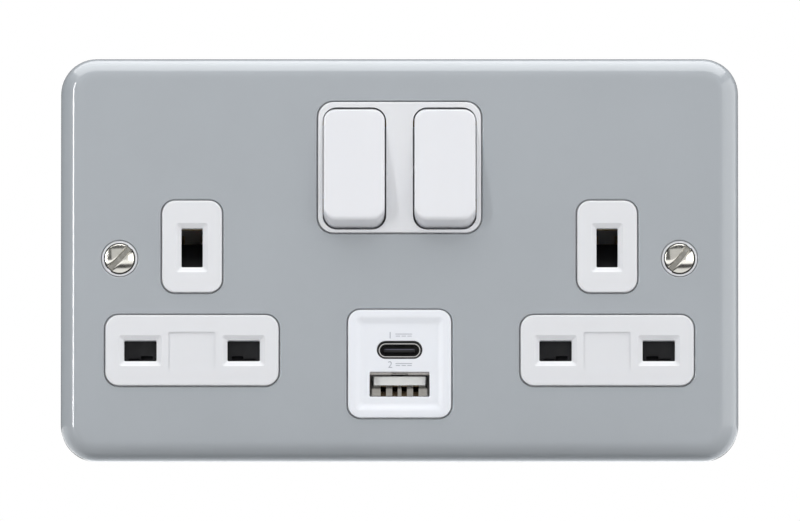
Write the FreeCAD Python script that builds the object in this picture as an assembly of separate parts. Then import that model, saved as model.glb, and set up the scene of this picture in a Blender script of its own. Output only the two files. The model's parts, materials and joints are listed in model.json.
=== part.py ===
"""Two-gang switched wall socket for flat three-pin plugs, with a metal front plate and two USB ports.

Frame: +X to the right as seen from the room, +Z up, +Y into the wall. The origin is the middle of the
fixing pattern on the wall's surface, which is also the plane of the plate's rear rim. What stands in
front of the wall has negative Y. All sizes are in millimetres.
"""

import FreeCAD, Part
import math
import os

V = FreeCAD.Vector

# Front plate, one pressed sheet
plate_side = 8.0
plate_depth = 9.0
plate_sheet = 1.2
plate_corner_r = 7.7
plate_edge_r = 4.2
plate_gap = 0.25

# Fixing screws
fixing_thread_r = 1.75
fixing_neck_r = 1.55
fixing_head_r = 3.25
fixing_head_rise = 0.9
fixing_length = 25.0
fixing_slot_width = 1.1
fixing_slot_depth = 1.0
fixing_hole_r = 2.0
fixing_boss_r = 3.8
left_slot_angle = 47.0
right_slot_angle = 51.0

# Front moulding
body_side = 1.15
body_top = 2.1
body_corner_r = 4.0
body_wall = 2.0
slab_thickness = 2.6
island_proud = 0.4
island_edge_r = 0.3
lug_side = 4.7
lug_notch_width = 9.5
lug_notch_height = 14.0
lug_boss_r = 4.4
lug_boss_height = 2.6

# Islands of the front moulding: what each has round its holes or rockers, and its corner radius
socket_pitch = 89.4
earth_margin = (4.15, 5.675)
earth_corner_r = 2.8
line_margin = (4.035, 5.35)
line_corner_r = 2.9
switch_margin = 1.15
switch_corner_r = 3.3
island_shift = 0.25
line_shift = 0.08

# Pin holes
pin_pitch = 22.23
earth_hole_z = 2.35
line_hole = (7.0, 4.5, 0.3)
earth_hole = (4.6, 8.45, 0.3)
hole_bevel = 1.1
hole_bevel_depth = 0.7
hole_bevel_corner_r = 0.5
bare_panel = (10.1, 8.1, 0.4)
bare_panel_depth = 0.3

# Rocker switches
rocker_pitch = 19.6
rocker_z = 19.45
rocker_width = 13.2
rocker_length = 25.9
rocker_corner_r = 2.8
rocker_pivot_depth = 3.4
rocker_rise = 5.3
rocker_end = 1.55
rocker_shoulder = 1.2
rocker_skirt = 1.5
rocker_wall = 1.5
rocker_edge_r = 0.45
rocker_throw_angle = 20.0
trunnion_r = 1.2
trunnion_length = 1.2
trunnion_play = 0.05
well_gap = 0.25
well_shift = 0.07
well_wall = 1.2
well_depth_behind = 2.0
stem_width = 9.8
stem_thickness = 4.4
stem_reach = 6.0

# Plungers and switch arms
pole_pitch = 6.4
plunger_r = 1.0
plunger_play = 0.05
plunger_length = 5.9
plunger_tip = 7.5
plunger_bore_top = 2.6
plunger_wire_r = 0.2
plunger_spring_turns = 4
arm_gap = 0.3
arm_width = 3.2
arm_length = 18.0
arm_sheet = 0.8
arm_ratio = 0.8
fulcrum_r = 1.0
fulcrum_play = 0.05
fulcrum_rise = 1.75
saddle_wall = 0.8
fulcrum_web = 1.4
button_r = 1.4
button_height = 0.8
button_offset = 7.0
button_gap = 0.06

# Brass strips, all of one sheet
strip_sheet = 0.8
strip_width = 3.0
crossing_step = 3.8
busbar_width = 2.4
busbar_gap = 0.2
tab_width = 4.0
outer_strip_z = 12.5
outer_strip_side = 6.3
inner_strip_z = -7.2

# Pin clips
clip_width = 6.0
clip_half_gap = 1.75
clip_set_back = 2.2
clip_reach = 2.6
clip_flare = 1.0
clip_flare_length = 1.6
clip_seat = 0.8

# Earth strap
strap_drop = 4.0
strap_width = 8.0
strap_window_gap = 0.3
strap_rim = 3.4
earth_clip_width = 7.0
earth_clip_length = 11.4
strap_step = 8.3
strap_slot_gap = 0.2

# Terminals
terminal_width = 8.0
terminal_bore_r = 2.1
terminal_bore_seat = 3.4
terminal_screw_r = 2.0
terminal_screw_length = 5.0
terminal_screw_slot = 0.8
terminal_side = 18.7
terminal_drop = 8.5
earth_terminal_gap = 4.9
earth_terminal_z = 2.0
access_gap = 0.5

# Shutters
shutter_travel = 5.6
shutter_thickness = 1.5
shutter_play = 0.15
shutter_side = 4.685
shutter_lap = 1.0
shutter_window = (8.0, 5.2)
shutter_stem_width = 5.2
shutter_dish_width = 2.55
shutter_dish_heights = (0.8, 1.35)
shutter_dish_gap = 0.15
shutter_dish_slope = 0.8
shutter_ramp_depth = 5.6
shutter_ramp_wall = 1.2
rail_wall = 1.2
rail_lip = 1.0
rail_height = 2.0
shutter_spring_r = 1.7
shutter_wire_r = 0.22
shutter_spring_turns = 6
spring_clear = 0.06

# USB module
usb_island = (22.2, 23.25, 2.7)
usb_island_edge = 0.175
usb_rim = 1.5
usb_rim_slope = 1.4
usb_panel_depth = 0.5
usb_panel_wall = 1.6
usb_neck_gap = 0.2
usb_neck_inset = 2.2
usb_neck_wall = 1.3
usb_neck_reach = 2.0
usb_hook = (6.0, 1.0, 0.6)
usb_c_rise = 3.0
usb_c_shell = (9.2, 3.3)
usb_c_sheet = 0.35
usb_c_length = 7.3
usb_c_tongue = (6.7, 0.7, 4.6)
usb_c_cut = (9.8, 3.9)
usb_a_drop = 4.4
usb_a_shell = (13.1, 5.5)
usb_a_sheet = 0.3
usb_a_tongue = (11.1, 1.85, 8.6)
usb_a_tongue_rise = 0.85
usb_a_contact = (1.2, 0.25, 7.4, 0.95)
usb_a_contact_pitches = (-3.5, -1.0, 1.0, 3.5)
usb_a_tail_sink = 0.3
usb_a_tail_play = 0.05
usb_a_notch = (3.4, 1.6)
usb_port_setback = 1.4
board_gap = 0.2
board_thickness = 1.6
board_size = (26.0, 20.0)
board_post_r = 1.2
board_post_inset = (1.3, 1.9)
transformer_size = (12.0, 6.6, 9.0)
transformer_drop = 4.9
capacitor_r = 3.0
capacitor_length = 16.0
capacitor_rise = 5.1

# Rear housing
housing_room = 10.8
housing_floor = 2.0
split_gap = 0.4
column_r = 3.6
post_r = 2.5
upper_post_inset = (6.5, 6.0)
lower_post_gap = 0.9
lower_post_inset = 5.5
body_screw_r = 1.2
body_screw_head_r = 2.3
body_screw_head = 1.6
body_screw_sink = 5.0
body_screw_bite = 5.0
wire_window = (6.2, 6.2)
rib = 1.4

# Plate bosses, ears and their screws
boss_x = 30.0
boss_gap = 0.5
boss_r = 3.0
boss_height = 3.6
boss_rim = 2.4
ear_thickness = 2.0
plate_screw_r = 1.5
plate_screw_head_r = 2.7
plate_screw_head = 1.5
plate_screw_bite = 2.4
driver_slot = 0.8

# Widths, from the sockets outwards
shutter_width = pin_pitch + 2 * shutter_side
body_width = socket_pitch + shutter_width + 2 * (shutter_play + rail_wall + body_side + body_wall)
fixing_pitch = body_width - 2 * lug_side
plate_width = body_width + 2 * plate_side
socket_x = socket_pitch / 2
rocker_x = rocker_pitch / 2
fixing_x = fixing_pitch / 2
notch_x = body_width / 2 - lug_notch_width
outer_strip_x = socket_x + outer_strip_side
strap_step_x = fixing_x - strap_step
terminal_x = socket_x - terminal_side
inner_strip_edge = rocker_x - pole_pitch / 2 + strip_width / 2
earth_terminal_x = inner_strip_edge + earth_terminal_gap + terminal_width / 2

# Heights, from the rockers to the body's edge and from there to the USB module
body_height = 2 * (rocker_z + rocker_length / 2 + body_top)
boss_z = body_height / 2 + boss_gap + boss_r
plate_height = 2 * (boss_z + boss_r + boss_rim)
inner_z = body_height / 2 - body_wall
notch_z = lug_notch_height / 2
busbar_z = inner_z - busbar_gap - busbar_width / 2
terminal_z = inner_z - terminal_drop
line_hole_z = earth_hole_z - pin_pitch
usb_island_z = usb_island_edge + usb_island[1] / 2 - body_height / 2
usb_c_z = usb_island_z + usb_c_rise
usb_a_z = usb_island_z - usb_a_drop
board_z = board_gap + board_size[1] / 2 - inner_z
transformer_z = board_z - transformer_drop
capacitor_z = board_z + capacitor_rise
upper_post = (body_width / 2 - upper_post_inset[0], body_height / 2 - upper_post_inset[1])
lower_post = (socket_x - shutter_width / 2 - lower_post_gap - post_r, lower_post_inset - body_height / 2)

# Islands: middle above the floor of the layout, width, height, corner radius
earth_island = (earth_hole[0] + 2 * earth_margin[0], earth_hole[1] + 2 * earth_margin[1], earth_corner_r)
line_island = (pin_pitch + line_hole[0] + 2 * line_margin[0], line_hole[1] + 2 * line_margin[1],
               line_corner_r)
switch_island = (rocker_pitch + rocker_width + 2 * switch_margin, rocker_length + 2 * switch_margin,
                 switch_corner_r)
earth_island_z = earth_hole_z + island_shift
line_island_z = line_hole_z + line_shift
switch_island_z = rocker_z + island_shift

# Depths, from the plate's face inwards
face = -plate_depth
sheet_back = face + plate_sheet
island_front = face - island_proud
fixing_rim = face + 0.1
slab_back = sheet_back + slab_thickness
lug_strap_y = slab_back + lug_boss_height
usb_neck_back = slab_back + usb_neck_reach
pivot_y = island_front + rocker_pivot_depth
arm_axis_y = pivot_y + plunger_tip + arm_gap + fulcrum_r + fulcrum_play + saddle_wall
arm_tilt = arm_ratio * rocker_throw_angle / 2
strip_plane = arm_axis_y + fulcrum_rise
strip_back = strip_plane + strip_sheet
strap_plane = strip_plane - strap_drop
strap_back = strap_plane + strip_sheet
split_plane = strap_plane - split_gap
board_plane = strip_plane + board_gap
clip_front = slab_back + clip_set_back
clip_back = strip_back + clip_reach
earth_clip_back = strap_plane + earth_clip_length
terminal_bore_depth = strip_back + terminal_bore_seat
body_screw_seat = split_plane + body_screw_sink
housing_depth = strip_back + housing_room
housing_inside = housing_depth - housing_floor

parts = {}


def box(x, y, z):
    """A block between two limits on each axis."""
    size = [max(a) - min(a) for a in (x, y, z)]
    return Part.makeBox(*size, V(min(x), min(y), min(z)))


def plate(x, z, width, height, radius, y0, y1):
    """A slab with rounded corners, seen from the front as width by height about (x, z)."""
    w, h, r = width / 2, height / 2, radius
    k = r * (1 - math.sqrt(0.5))
    p = lambda a, b: V(x + a, y0, z + b)
    edges = []
    for i, (sx, sz) in enumerate(((1, 1), (-1, 1), (-1, -1), (1, -1))):
        across, up = p(sx * (w - r), sz * h), p(sx * w, sz * (h - r))
        start, end = (up, across) if i % 2 == 0 else (across, up)
        edges.append(Part.Arc(start, p(sx * (w - k), sz * (h - k)), end).toShape())
    loop = []
    for i, edge in enumerate(edges):
        loop.append(edge)
        start = edge.Vertexes[-1].Point
        end = edges[(i + 1) % 4].Vertexes[0].Point
        if start.distanceToPoint(end) > 1e-6:
            loop.append(Part.LineSegment(start, end).toShape())
    return Part.Face(Part.Wire(loop)).extrude(V(0, y1 - y0, 0))


def rod(axis, at, radius, start, end):
    """A cylinder along one axis: at gives its place on the two others, in X, Y, Z order."""
    a, b = at
    base = {"x": V(start, a, b), "y": V(a, start, b), "z": V(a, b, start)}[axis]
    way = {"x": V(1, 0, 0), "y": V(0, 1, 0), "z": V(0, 0, 1)}[axis]
    return Part.makeCylinder(radius, end - start, base, way)


def prism(points, x0, x1):
    """A profile in (y, z) carried along X."""
    loop = [V(x0, y, z) for y, z in points]
    return Part.Face(Part.makePolygon(loop + loop[:1])).extrude(V(x1 - x0, 0, 0))


def flat_prism(points, z0, z1):
    """A profile in (x, y) carried along Z."""
    loop = [V(x, y, z0) for x, y in points]
    return Part.Face(Part.makePolygon(loop + loop[:1])).extrude(V(0, 0, z1 - z0))


def joined(first, *rest):
    """Solids made one, without the seams between faces that lie in one surface."""
    return first.fuse(list(rest)).removeSplitter() if rest else first


def turned(shape, degrees, y, z):
    """A copy turned about the X line through (y, z)."""
    copy = shape.copy()
    copy.rotate(V(0, y, z), V(1, 0, 0), degrees)
    return copy


def mirrored(shape):
    """The same piece on the other side of the middle plane."""
    return shape.mirror(V(0, 0, 0), V(1, 0, 0))


def moved(shape, x=0.0, y=0.0, z=0.0):
    """A copy moved by these distances."""
    copy = shape.copy()
    copy.translate(V(x, y, z))
    return copy


def front_rounded(shape, y, radius):
    """A copy with all edges in the plane Y = y rounded."""
    rim = [e for e in shape.Edges if all(abs(v.Point.y - y) < 1e-6 for v in e.Vertexes)]
    return shape.makeFillet(radius, rim)


def bevelled_hole(x, z, size, front, back):
    """The space of a pin hole: a shallow funnel at the front, then straight to the back."""
    width, height, radius = size
    through = plate(x, z, width, height, radius, front - 1, back)
    mouth = plate(x, z, width + 2 * hole_bevel, height + 2 * hole_bevel, hole_bevel_corner_r,
                  front, front + 1)
    throat = plate(x, z, width, height, radius, front + hole_bevel_depth, front + 2)
    rings = [min(s.Faces, key=lambda f: f.CenterOfMass.y).OuterWire for s in (mouth, throat)]
    return through.fuse(Part.makeLoft(rings, True, True))


def coil(radius, wire_r, turns, length):
    """A round-wire compression spring along +Z from the origin, its ends inside the length."""
    rise = length - 2 * wire_r
    line = Part.makeHelix(rise / turns, rise, radius)
    start = Part.Wire(Part.makeCircle(wire_r, V(radius, 0, 0), V(0, 1, 0)))
    spring = Part.Wire(line.Edges).makePipeShell([start], True, True)
    spring.translate(V(0, 0, wire_r))
    return spring


def islands():
    """Place and outline of each island: (x, z, (width, height, corner radius))."""
    found = [(0.0, switch_island_z, switch_island)]
    for side in (-1, 1):
        found.append((side * socket_x, earth_island_z, earth_island))
        found.append((side * socket_x, line_island_z, line_island))
    return found


def pin_holes():
    """Place and outline of each pin hole."""
    found = []
    for side in (-1, 1):
        found.append((side * socket_x, earth_hole_z, earth_hole))
        for pin in (-1, 1):
            found.append((side * socket_x + pin * pin_pitch / 2, line_hole_z, line_hole))
    return found


def corners(x, z):
    """The four places mirrored from one."""
    return [(sx * x, sz * z) for sx in (-1, 1) for sz in (-1, 1)]


def body_outline(inset, y0, y1):
    """The body's outline, notched at both sides for the wall box's screw lugs."""
    width, height = body_width - 2 * inset, body_height - 2 * inset
    shape = plate(0, 0, width, height, body_corner_r - inset, y0, y1)
    for side in (-1, 1):
        edge = notch_x - inset
        notch = box((side * edge, side * body_width), (y0 - 1, y1 + 1), (-notch_z - inset, notch_z + inset))
        shape = shape.cut(notch)
    return shape


def front_plate():
    """The pressed sheet with its rounded edge, openings, screw holes and welded bosses."""
    outer = plate(0, 0, plate_width, plate_height, plate_corner_r, face, 0)
    outer = front_rounded(outer, face, plate_edge_r)
    hollow = plate(0, 0, plate_width - 2 * plate_sheet, plate_height - 2 * plate_sheet,
                   plate_corner_r - plate_sheet, sheet_back, 1)
    hollow = front_rounded(hollow, sheet_back, plate_edge_r - plate_sheet)
    bosses = [rod("y", at, boss_r, sheet_back - plate_sheet / 2, sheet_back + boss_height)
              for at in corners(boss_x, boss_z)]
    shape = joined(outer.cut(hollow), *bosses)
    openings = islands() + [(0.0, usb_island_z, usb_island)]
    cuts = [plate(x, z, w + 2 * plate_gap, h + 2 * plate_gap, r + plate_gap, face - 1, sheet_back + 1)
            for x, z, (w, h, r) in openings]
    cuts += [rod("y", (side * fixing_x, 0), fixing_boss_r + plate_gap / 2, face - 1, sheet_back + 1)
             for side in (-1, 1)]
    cuts += [rod("y", at, plate_screw_r, sheet_back + boss_height - plate_screw_bite, 0)
             for at in corners(boss_x, boss_z)]
    return shape.cut(cuts)


def countersink(x, radius, play):
    """The cone under a fixing screw's head, down to a radius."""
    wide = fixing_head_r + play
    return Part.makeCone(wide, radius, wide - radius, V(x, fixing_rim, 0), V(0, 1, 0))


def fixing_screw(x, angle):
    """A raised countersunk slotted screw: domed head, plain neck and threaded shank."""
    tip = fixing_rim + fixing_length
    clear = lug_strap_y + strip_sheet + 0.3
    dome_r = (fixing_head_r**2 + fixing_head_rise**2) / (2 * fixing_head_rise)
    dome = Part.makeSphere(dome_r, V(x, fixing_rim - fixing_head_rise + dome_r, 0))
    dome = dome.common(rod("y", (x, 0), fixing_head_r, fixing_rim - fixing_head_rise, fixing_rim))
    neck = rod("y", (x, 0), fixing_neck_r, fixing_rim, clear)
    shank = rod("y", (x, 0), fixing_thread_r, clear, tip)
    end = Part.makeCone(fixing_thread_r, fixing_thread_r - 0.5, 0.5, V(x, tip, 0), V(0, 1, 0))
    screw = joined(dome, countersink(x, fixing_neck_r, 0.0), neck, shank, end)
    front = fixing_rim - fixing_head_rise
    slot = box((-fixing_head_r - 1, fixing_head_r + 1), (front - 1, front + fixing_slot_depth),
               (-fixing_slot_width / 2, fixing_slot_width / 2))
    slot.rotate(V(0, 0, 0), V(0, 1, 0), -angle)
    slot.translate(V(x, 0, 0))
    return screw.cut(slot)


def rocker_swept(inset, slack=0.0):
    """What a rocker's rounded outline sweeps about its trunnions, centred on the pivot."""
    w, r = rocker_width / 2 - inset + slack, rocker_length / 2 - inset + slack
    c = max(rocker_corner_r - inset, 0.3)
    k = c * (1 - math.sqrt(0.5))
    at = lambda x, z: V(x, 0, z)
    edges = [
        Part.LineSegment(at(-w, 0), at(-w, r - c)),
        Part.Arc(at(-w, r - c), at(-w + k, r - k), at(-w + c, r)),
        Part.LineSegment(at(-w + c, r), at(w - c, r)),
        Part.Arc(at(w - c, r), at(w - k, r - k), at(w, r - c)),
        Part.LineSegment(at(w, r - c), at(w, 0)),
        Part.LineSegment(at(w, 0), at(-w, 0)),
    ]
    profile = Part.Face(Part.Wire([e.toShape() for e in edges]))
    return profile.revolve(V(0, 0, 0), V(1, 0, 0), 360)


def rocker_side(inset):
    """The rocker's side profile about the pivot: flat face, sloping ends, cut off at the skirt."""
    far = rocker_length
    rise = rocker_rise - inset
    half = rocker_length / 2 - rocker_end - inset / 2
    shoulder = rocker_shoulder - inset / 2
    reach = math.sqrt((rocker_length / 2 - inset) ** 2 - max(shoulder, 0) ** 2)
    back = rocker_skirt + (1.0 if inset else 0.0)
    points = [(-rise, half), (-shoulder, reach), (-shoulder, far), (back, far),
              (back, -far), (-shoulder, -far), (-shoulder, -reach), (-rise, -half)]
    return prism(points, -rocker_width, rocker_width)


def rocker():
    """One rocker in its middle position about the pivot: hollow shell, trunnions and sprung stem."""
    outer = rocker_swept(0.0).common(rocker_side(0.0))
    rim = [e for e in outer.Edges if all(v.Point.y < -rocker_shoulder - 0.05 for v in e.Vertexes)]
    outer = outer.makeFillet(rocker_edge_r, rim)
    hollow = rocker_swept(rocker_wall).common(rocker_side(rocker_wall))
    half = stem_thickness / 2
    inner = rocker_width / 2 - rocker_wall
    cross = box((-inner, inner), (-rocker_rise + rocker_wall, rocker_skirt), (-half, half))
    stem = box((-stem_width / 2, stem_width / 2), (0, stem_reach), (-half, half))
    end = rocker_width / 2 + trunnion_length
    trunnions = rod("x", (0, 0), trunnion_r, -end, end)
    pieces = joined(outer.cut(hollow.cut(cross)), stem, trunnions)
    bore_r = plunger_r + plunger_play
    bores = [rod("y", (side * pole_pitch / 2, 0), bore_r, -plunger_bore_top, stem_reach + 1)
             for side in (-1, 1)]
    return pieces.cut(bores)


def plunger():
    """A plunger about the pivot, its round tip towards the switch arm."""
    barrel = rod("y", (0, 0), plunger_r, plunger_tip - plunger_length, plunger_tip - plunger_r)
    return joined(barrel, Part.makeSphere(plunger_r, V(0, plunger_tip - plunger_r, 0)))


def plunger_spring():
    """The spring between the bottom of a rocker's bore and its plunger."""
    room = plunger_bore_top + plunger_tip - plunger_length
    radius = plunger_r - plunger_wire_r - spring_clear
    spring = coil(radius, plunger_wire_r, plunger_spring_turns, room - 2 * spring_clear)
    spring.rotate(V(0, 0, 0), V(1, 0, 0), -90)
    spring.translate(V(0, -plunger_bore_top + spring_clear, 0))
    return spring


def switch_arm():
    """A rocking arm about its fulcrum's axis: strip, saddle over the fulcrum and contact button."""
    half = arm_width / 2
    front = -(fulcrum_r + fulcrum_play + saddle_wall)
    blade = box((-half, half), (front, front + arm_sheet), (-arm_length / 2, arm_length / 2))
    wrap = fulcrum_r + fulcrum_play + saddle_wall
    saddle = rod("x", (0, 0), wrap, -half, half).common(box((-half, half), (front, 0), (-wrap, wrap)))
    button = rod("y", (0, button_offset), button_r, front + arm_sheet / 2, front + arm_sheet + button_height)
    groove = rod("x", (0, 0), fulcrum_r + fulcrum_play, -half - 1, half + 1)
    return joined(blade, saddle, button).cut(groove)


def fixed_button(x):
    """The fixed contact that an arm's button meets when its switch is on, at an arm's X."""
    front = -(fulcrum_r + fulcrum_play + saddle_wall) + arm_sheet + button_height + button_gap
    reach = strip_plane + strip_sheet / 2 - arm_axis_y
    button = rod("y", (x, button_offset), button_r, front, reach)
    button.translate(V(0, arm_axis_y, rocker_z))
    return turned(button, -arm_tilt, arm_axis_y, rocker_z)


def button_z():
    """The height of a fixed contact's middle."""
    tilt = math.radians(arm_tilt)
    return rocker_z + button_offset * math.cos(tilt) - strip_sheet * math.sin(tilt)


def front_moulding():
    """The insulating front: slab, islands, skirt, rocker wells, shutter rails, posts and ears."""
    slab = plate(0, 0, body_width, body_height, body_corner_r, sheet_back, slab_back)
    skirt = body_outline(0.0, sheet_back + slab_thickness / 2, split_plane)
    skirt = skirt.cut(body_outline(body_wall, slab_back - slab_thickness, split_plane + 1))
    add = [skirt]
    for x, z, (w, h, r) in islands():
        island = plate(x, z, w, h, r, island_front, slab_back)
        add.append(front_rounded(island, island_front, island_edge_r))
    well_w = rocker_width + 2 * well_gap
    well_l = rocker_length + 2 * well_gap
    for side in (-1, 1):
        add.append(plate(side * rocker_x, rocker_z, well_w + 2 * (well_wall + trunnion_length),
                         well_l + 2 * well_wall, rocker_corner_r + well_wall,
                         slab_back - slab_thickness / 2, slab_back + well_depth_behind))
        add.append(rod("y", (side * fixing_x, 0), fixing_boss_r, fixing_rim, slab_back))
        add.append(rod("y", (side * fixing_x, 0), lug_boss_r, slab_back, lug_strap_y))
        add.append(shutter_rails(side * socket_x))
        add.append(rod("z", (side * socket_x, shutter_spring_y()), shutter_spring_r - shutter_wire_r - 0.2,
                       -inner_z - 0.5, -inner_z + 1.2))
        strap_rest = box((side * (boss_x - rib), side * (boss_x + rib)), (slab_back, strap_plane),
                         (-strap_width / 2, strap_width / 2))
        add.append(strap_rest)
        add += [rod("y", (side * upper_post[0], upper_post[1]), post_r, slab_back - 0.5, split_plane),
                rod("y", (side * lower_post[0], lower_post[1]), post_r, slab_back - 0.5, split_plane)]
        add += [rod("y", at, board_post_r, slab_back - 0.5, board_plane) for at in board_posts(side)]
    for x, z in corners(boss_x, boss_z):
        way = math.copysign(1, z)
        ear_y = sheet_back + boss_height
        add.append(rod("y", (x, z), boss_r, ear_y, ear_y + ear_thickness))
        add.append(box((x - boss_r, x + boss_r), (ear_y, ear_y + ear_thickness),
                       (way * (inner_z + body_wall / 2), z)))
    shape = joined(slab, *add)
    cuts = [bevelled_hole(x, z, size, island_front, slab_back + 1) for x, z, size in pin_holes()]
    w, h, r = bare_panel
    for side in (-1, 1):
        cuts.append(plate(side * socket_x, line_hole_z, w, h, r,
                          island_front - 1, island_front + bare_panel_depth))
        well_x = side * (rocker_x - well_shift)
        cuts.append(plate(well_x, rocker_z, well_w, well_l, rocker_corner_r + well_gap,
                          island_front - 1, slab_back + well_depth_behind + 1))
        reach = rocker_width / 2 + trunnion_length + well_gap
        cuts.append(rod("x", (pivot_y, rocker_z), trunnion_r + trunnion_play,
                        side * rocker_x - reach, side * rocker_x + reach))
        cuts.append(countersink(side * fixing_x, fixing_hole_r, 0.0))
        cuts.append(rod("y", (side * fixing_x, 0), fixing_hole_r, fixing_rim, lug_strap_y + 1))
        cuts.append(rod("y", (side * fixing_x, 0), fixing_head_r, face - 1, fixing_rim))
        cuts.append(box((side * (notch_x - body_wall - 0.5), side * (notch_x + 0.5)),
                        (lug_strap_y - strap_slot_gap, split_plane + 1),
                        (-strap_width / 2 - strap_slot_gap, strap_width / 2 + strap_slot_gap)))
    w, h, r = usb_island
    neck = 2 * (usb_neck_inset - usb_neck_gap)
    cuts.append(plate(0, usb_island_z, w - neck, h - neck, r, sheet_back - 1, slab_back + 1))
    for x, z in corners(boss_x, boss_z):
        ear_y = sheet_back + boss_height
        cuts.append(rod("y", (x, z), plate_screw_r + 0.2, ear_y - 1, ear_y + ear_thickness + 1))
    for x, z in post_places():
        cuts.append(rod("y", (x, z), body_screw_r, split_plane - body_screw_bite, split_plane + 1))
    return shape.cut(cuts)


def post_places():
    """Where the four screws between the two halves of the body are."""
    return [(side * x, z) for side in (-1, 1) for x, z in (upper_post, lower_post)]


def board_posts(side):
    """Where the circuit board's posts stand on one side."""
    x = board_size[0] / 2 - board_post_inset[0]
    z = board_size[1] / 2 - board_post_inset[1]
    return [(side * x, board_z + z), (side * x, board_z - z)]


def shutter_spring_y():
    """The depth of a shutter spring's axis."""
    return slab_back + shutter_play + shutter_wire_r + shutter_spring_r + 0.1


def shutter_top():
    """The height of the top of a shutter's plate, above its windows."""
    return line_hole_z + shutter_travel + shutter_window[1] / 2 + shutter_lap


def shutter_bottom():
    """The height of a shutter's lower edge."""
    return line_hole_z - line_hole[1] / 2 - shutter_lap


def shutter_rails(x):
    """The two lipped rails that a shutter slides between."""
    low = shutter_bottom() - shutter_travel + rail_lip
    high = shutter_top()
    rails = []
    for side in (-1, 1):
        near = x + side * (shutter_width / 2 + shutter_play)
        top = slab_back + rail_height
        wall = box((near, near + side * rail_wall), (slab_back - 0.5, top + rail_wall), (low, high))
        lip = box((near - side * rail_lip, near + side * rail_wall / 2), (top, top + rail_wall), (low, high))
        rails += [wall, lip]
    return joined(*rails)


def shutter(x):
    """A safety shutter: plate over the line and neutral holes, windows above, ramp behind the earth hole."""
    front = slab_back + shutter_play
    back = front + shutter_thickness
    low, high = shutter_bottom(), shutter_top()
    half = shutter_stem_width / 2
    sheet = box((x - shutter_width / 2, x + shutter_width / 2), (front, back), (low, high))
    foot = box((x - half, x + half), (front, shutter_spring_y() + shutter_spring_r), (low, low + 1.6))
    ramp_low = earth_hole_z - earth_hole[1] / 2
    stem = box((x - half, x + half), (front, back), (high - 1, ramp_low))
    wall = shutter_ramp_wall * math.sqrt(2)
    rise = shutter_ramp_depth
    slope = [(front, ramp_low), (front + rise, ramp_low + rise), (front + rise, ramp_low + rise - wall),
             (front + wall, ramp_low), (front + wall, ramp_low - wall), (front, ramp_low - wall)]
    ramp = prism(slope, x - half, x + half)
    shape = joined(sheet, foot, stem, ramp)
    peg = rod("z", (x, shutter_spring_y()), shutter_spring_r - shutter_wire_r - 0.2, low - 1.2, low)
    shape = joined(shape, peg)
    w, h = shutter_window
    z = line_hole_z + shutter_travel
    windows = []
    for side in (-1, 1):
        middle = x + side * pin_pitch / 2
        windows.append(box((middle - w / 2, middle + w / 2), (front - 1, back + 1), (z - h / 2, z + h / 2)))
        windows += shutter_dishes(middle, side, front, low + shutter_lap)
    return shape.cut(windows)


def shutter_dishes(x, side, front, z):
    """The two sloping dishes seen low in a pin hole: the outer one short, the inner one tall."""
    dishes = []
    for way, height in zip((side, -side), shutter_dish_heights):
        near = x + way * shutter_dish_gap / 2
        far = near + way * shutter_dish_width
        slope = [(front, z), (front + height * shutter_dish_slope, z + height), (front - 1, z + height),
                 (front - 1, z)]
        dishes.append(prism(slope, min(near, far), max(near, far)))
    return dishes


def shutter_spring(x):
    """The spring between a shutter's foot and the body's lower wall."""
    length = shutter_bottom() + inner_z - 2 * spring_clear
    spring = coil(shutter_spring_r, shutter_wire_r, shutter_spring_turns, length)
    spring.translate(V(x, shutter_spring_y(), -inner_z + spring_clear))
    return spring


def pin_clip(x, z):
    """A line or neutral clip: two sprung leaves above and below the pin, closed at the back."""
    gap, t = clip_half_gap, strip_sheet
    mouth = clip_front + clip_flare_length
    leaf = [(clip_front, gap + clip_flare), (mouth, gap), (clip_back, gap), (clip_back, gap + t),
            (mouth, gap + t), (clip_front, gap + t + clip_flare)]
    half = clip_width / 2
    upper = prism([(y, z + d) for y, d in leaf], x - half, x + half)
    lower = prism([(y, z - d) for y, d in leaf], x - half, x + half)
    back = box((x - half, x + half), (clip_back, clip_back + t), (z - gap - t, z + gap + t))
    return joined(upper, lower, back)


def strip_run(route, width=None):
    """A flat strip in the strips' plane along straight runs through (x, z) corners."""
    half = (width or strip_width) / 2
    runs = []
    for (x0, z0), (x1, z1) in zip(route, route[1:]):
        runs.append(box((min(x0, x1) - half, max(x0, x1) + half), (strip_plane, strip_back),
                        (min(z0, z1) - half, max(z0, z1) + half)))
    return runs


def fulcrum(x):
    """The rounded edge that a switch arm rocks on, raised from its strip."""
    half = arm_width / 2 + 0.3
    edge = rod("x", (arm_axis_y, rocker_z), fulcrum_r, x - half, x + half)
    web = box((x - half, x + half), (arm_axis_y, strip_plane),
              (rocker_z - fulcrum_web / 2, rocker_z + fulcrum_web / 2))
    return [edge, web]


def outer_contact():
    """Right-hand outer strip: from the outer arm's fulcrum round the earth clip to the outer pin clip."""
    arm_x = rocker_x + pole_pitch / 2
    x = socket_x + pin_pitch / 2
    top = line_hole_z + clip_half_gap
    turn = top + strip_sheet + 2.2 + strip_width / 2
    route = [(arm_x, rocker_z), (arm_x, outer_strip_z), (outer_strip_x, outer_strip_z),
             (outer_strip_x, turn), (x, turn), (x, top + strip_width / 2)]
    return joined(pin_clip(x, line_hole_z), *strip_run(route), *fulcrum(arm_x))


def inner_contact():
    """Right-hand inner strip: from the inner arm's fulcrum to the inner pin clip."""
    arm_x = rocker_x - pole_pitch / 2
    x = socket_x - pin_pitch / 2
    top = line_hole_z + clip_half_gap
    route = [(arm_x, rocker_z), (arm_x, inner_strip_z), (x, inner_strip_z), (x, top + strip_width / 2)]
    return joined(pin_clip(x, line_hole_z), *strip_run(route), *fulcrum(arm_x))


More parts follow.
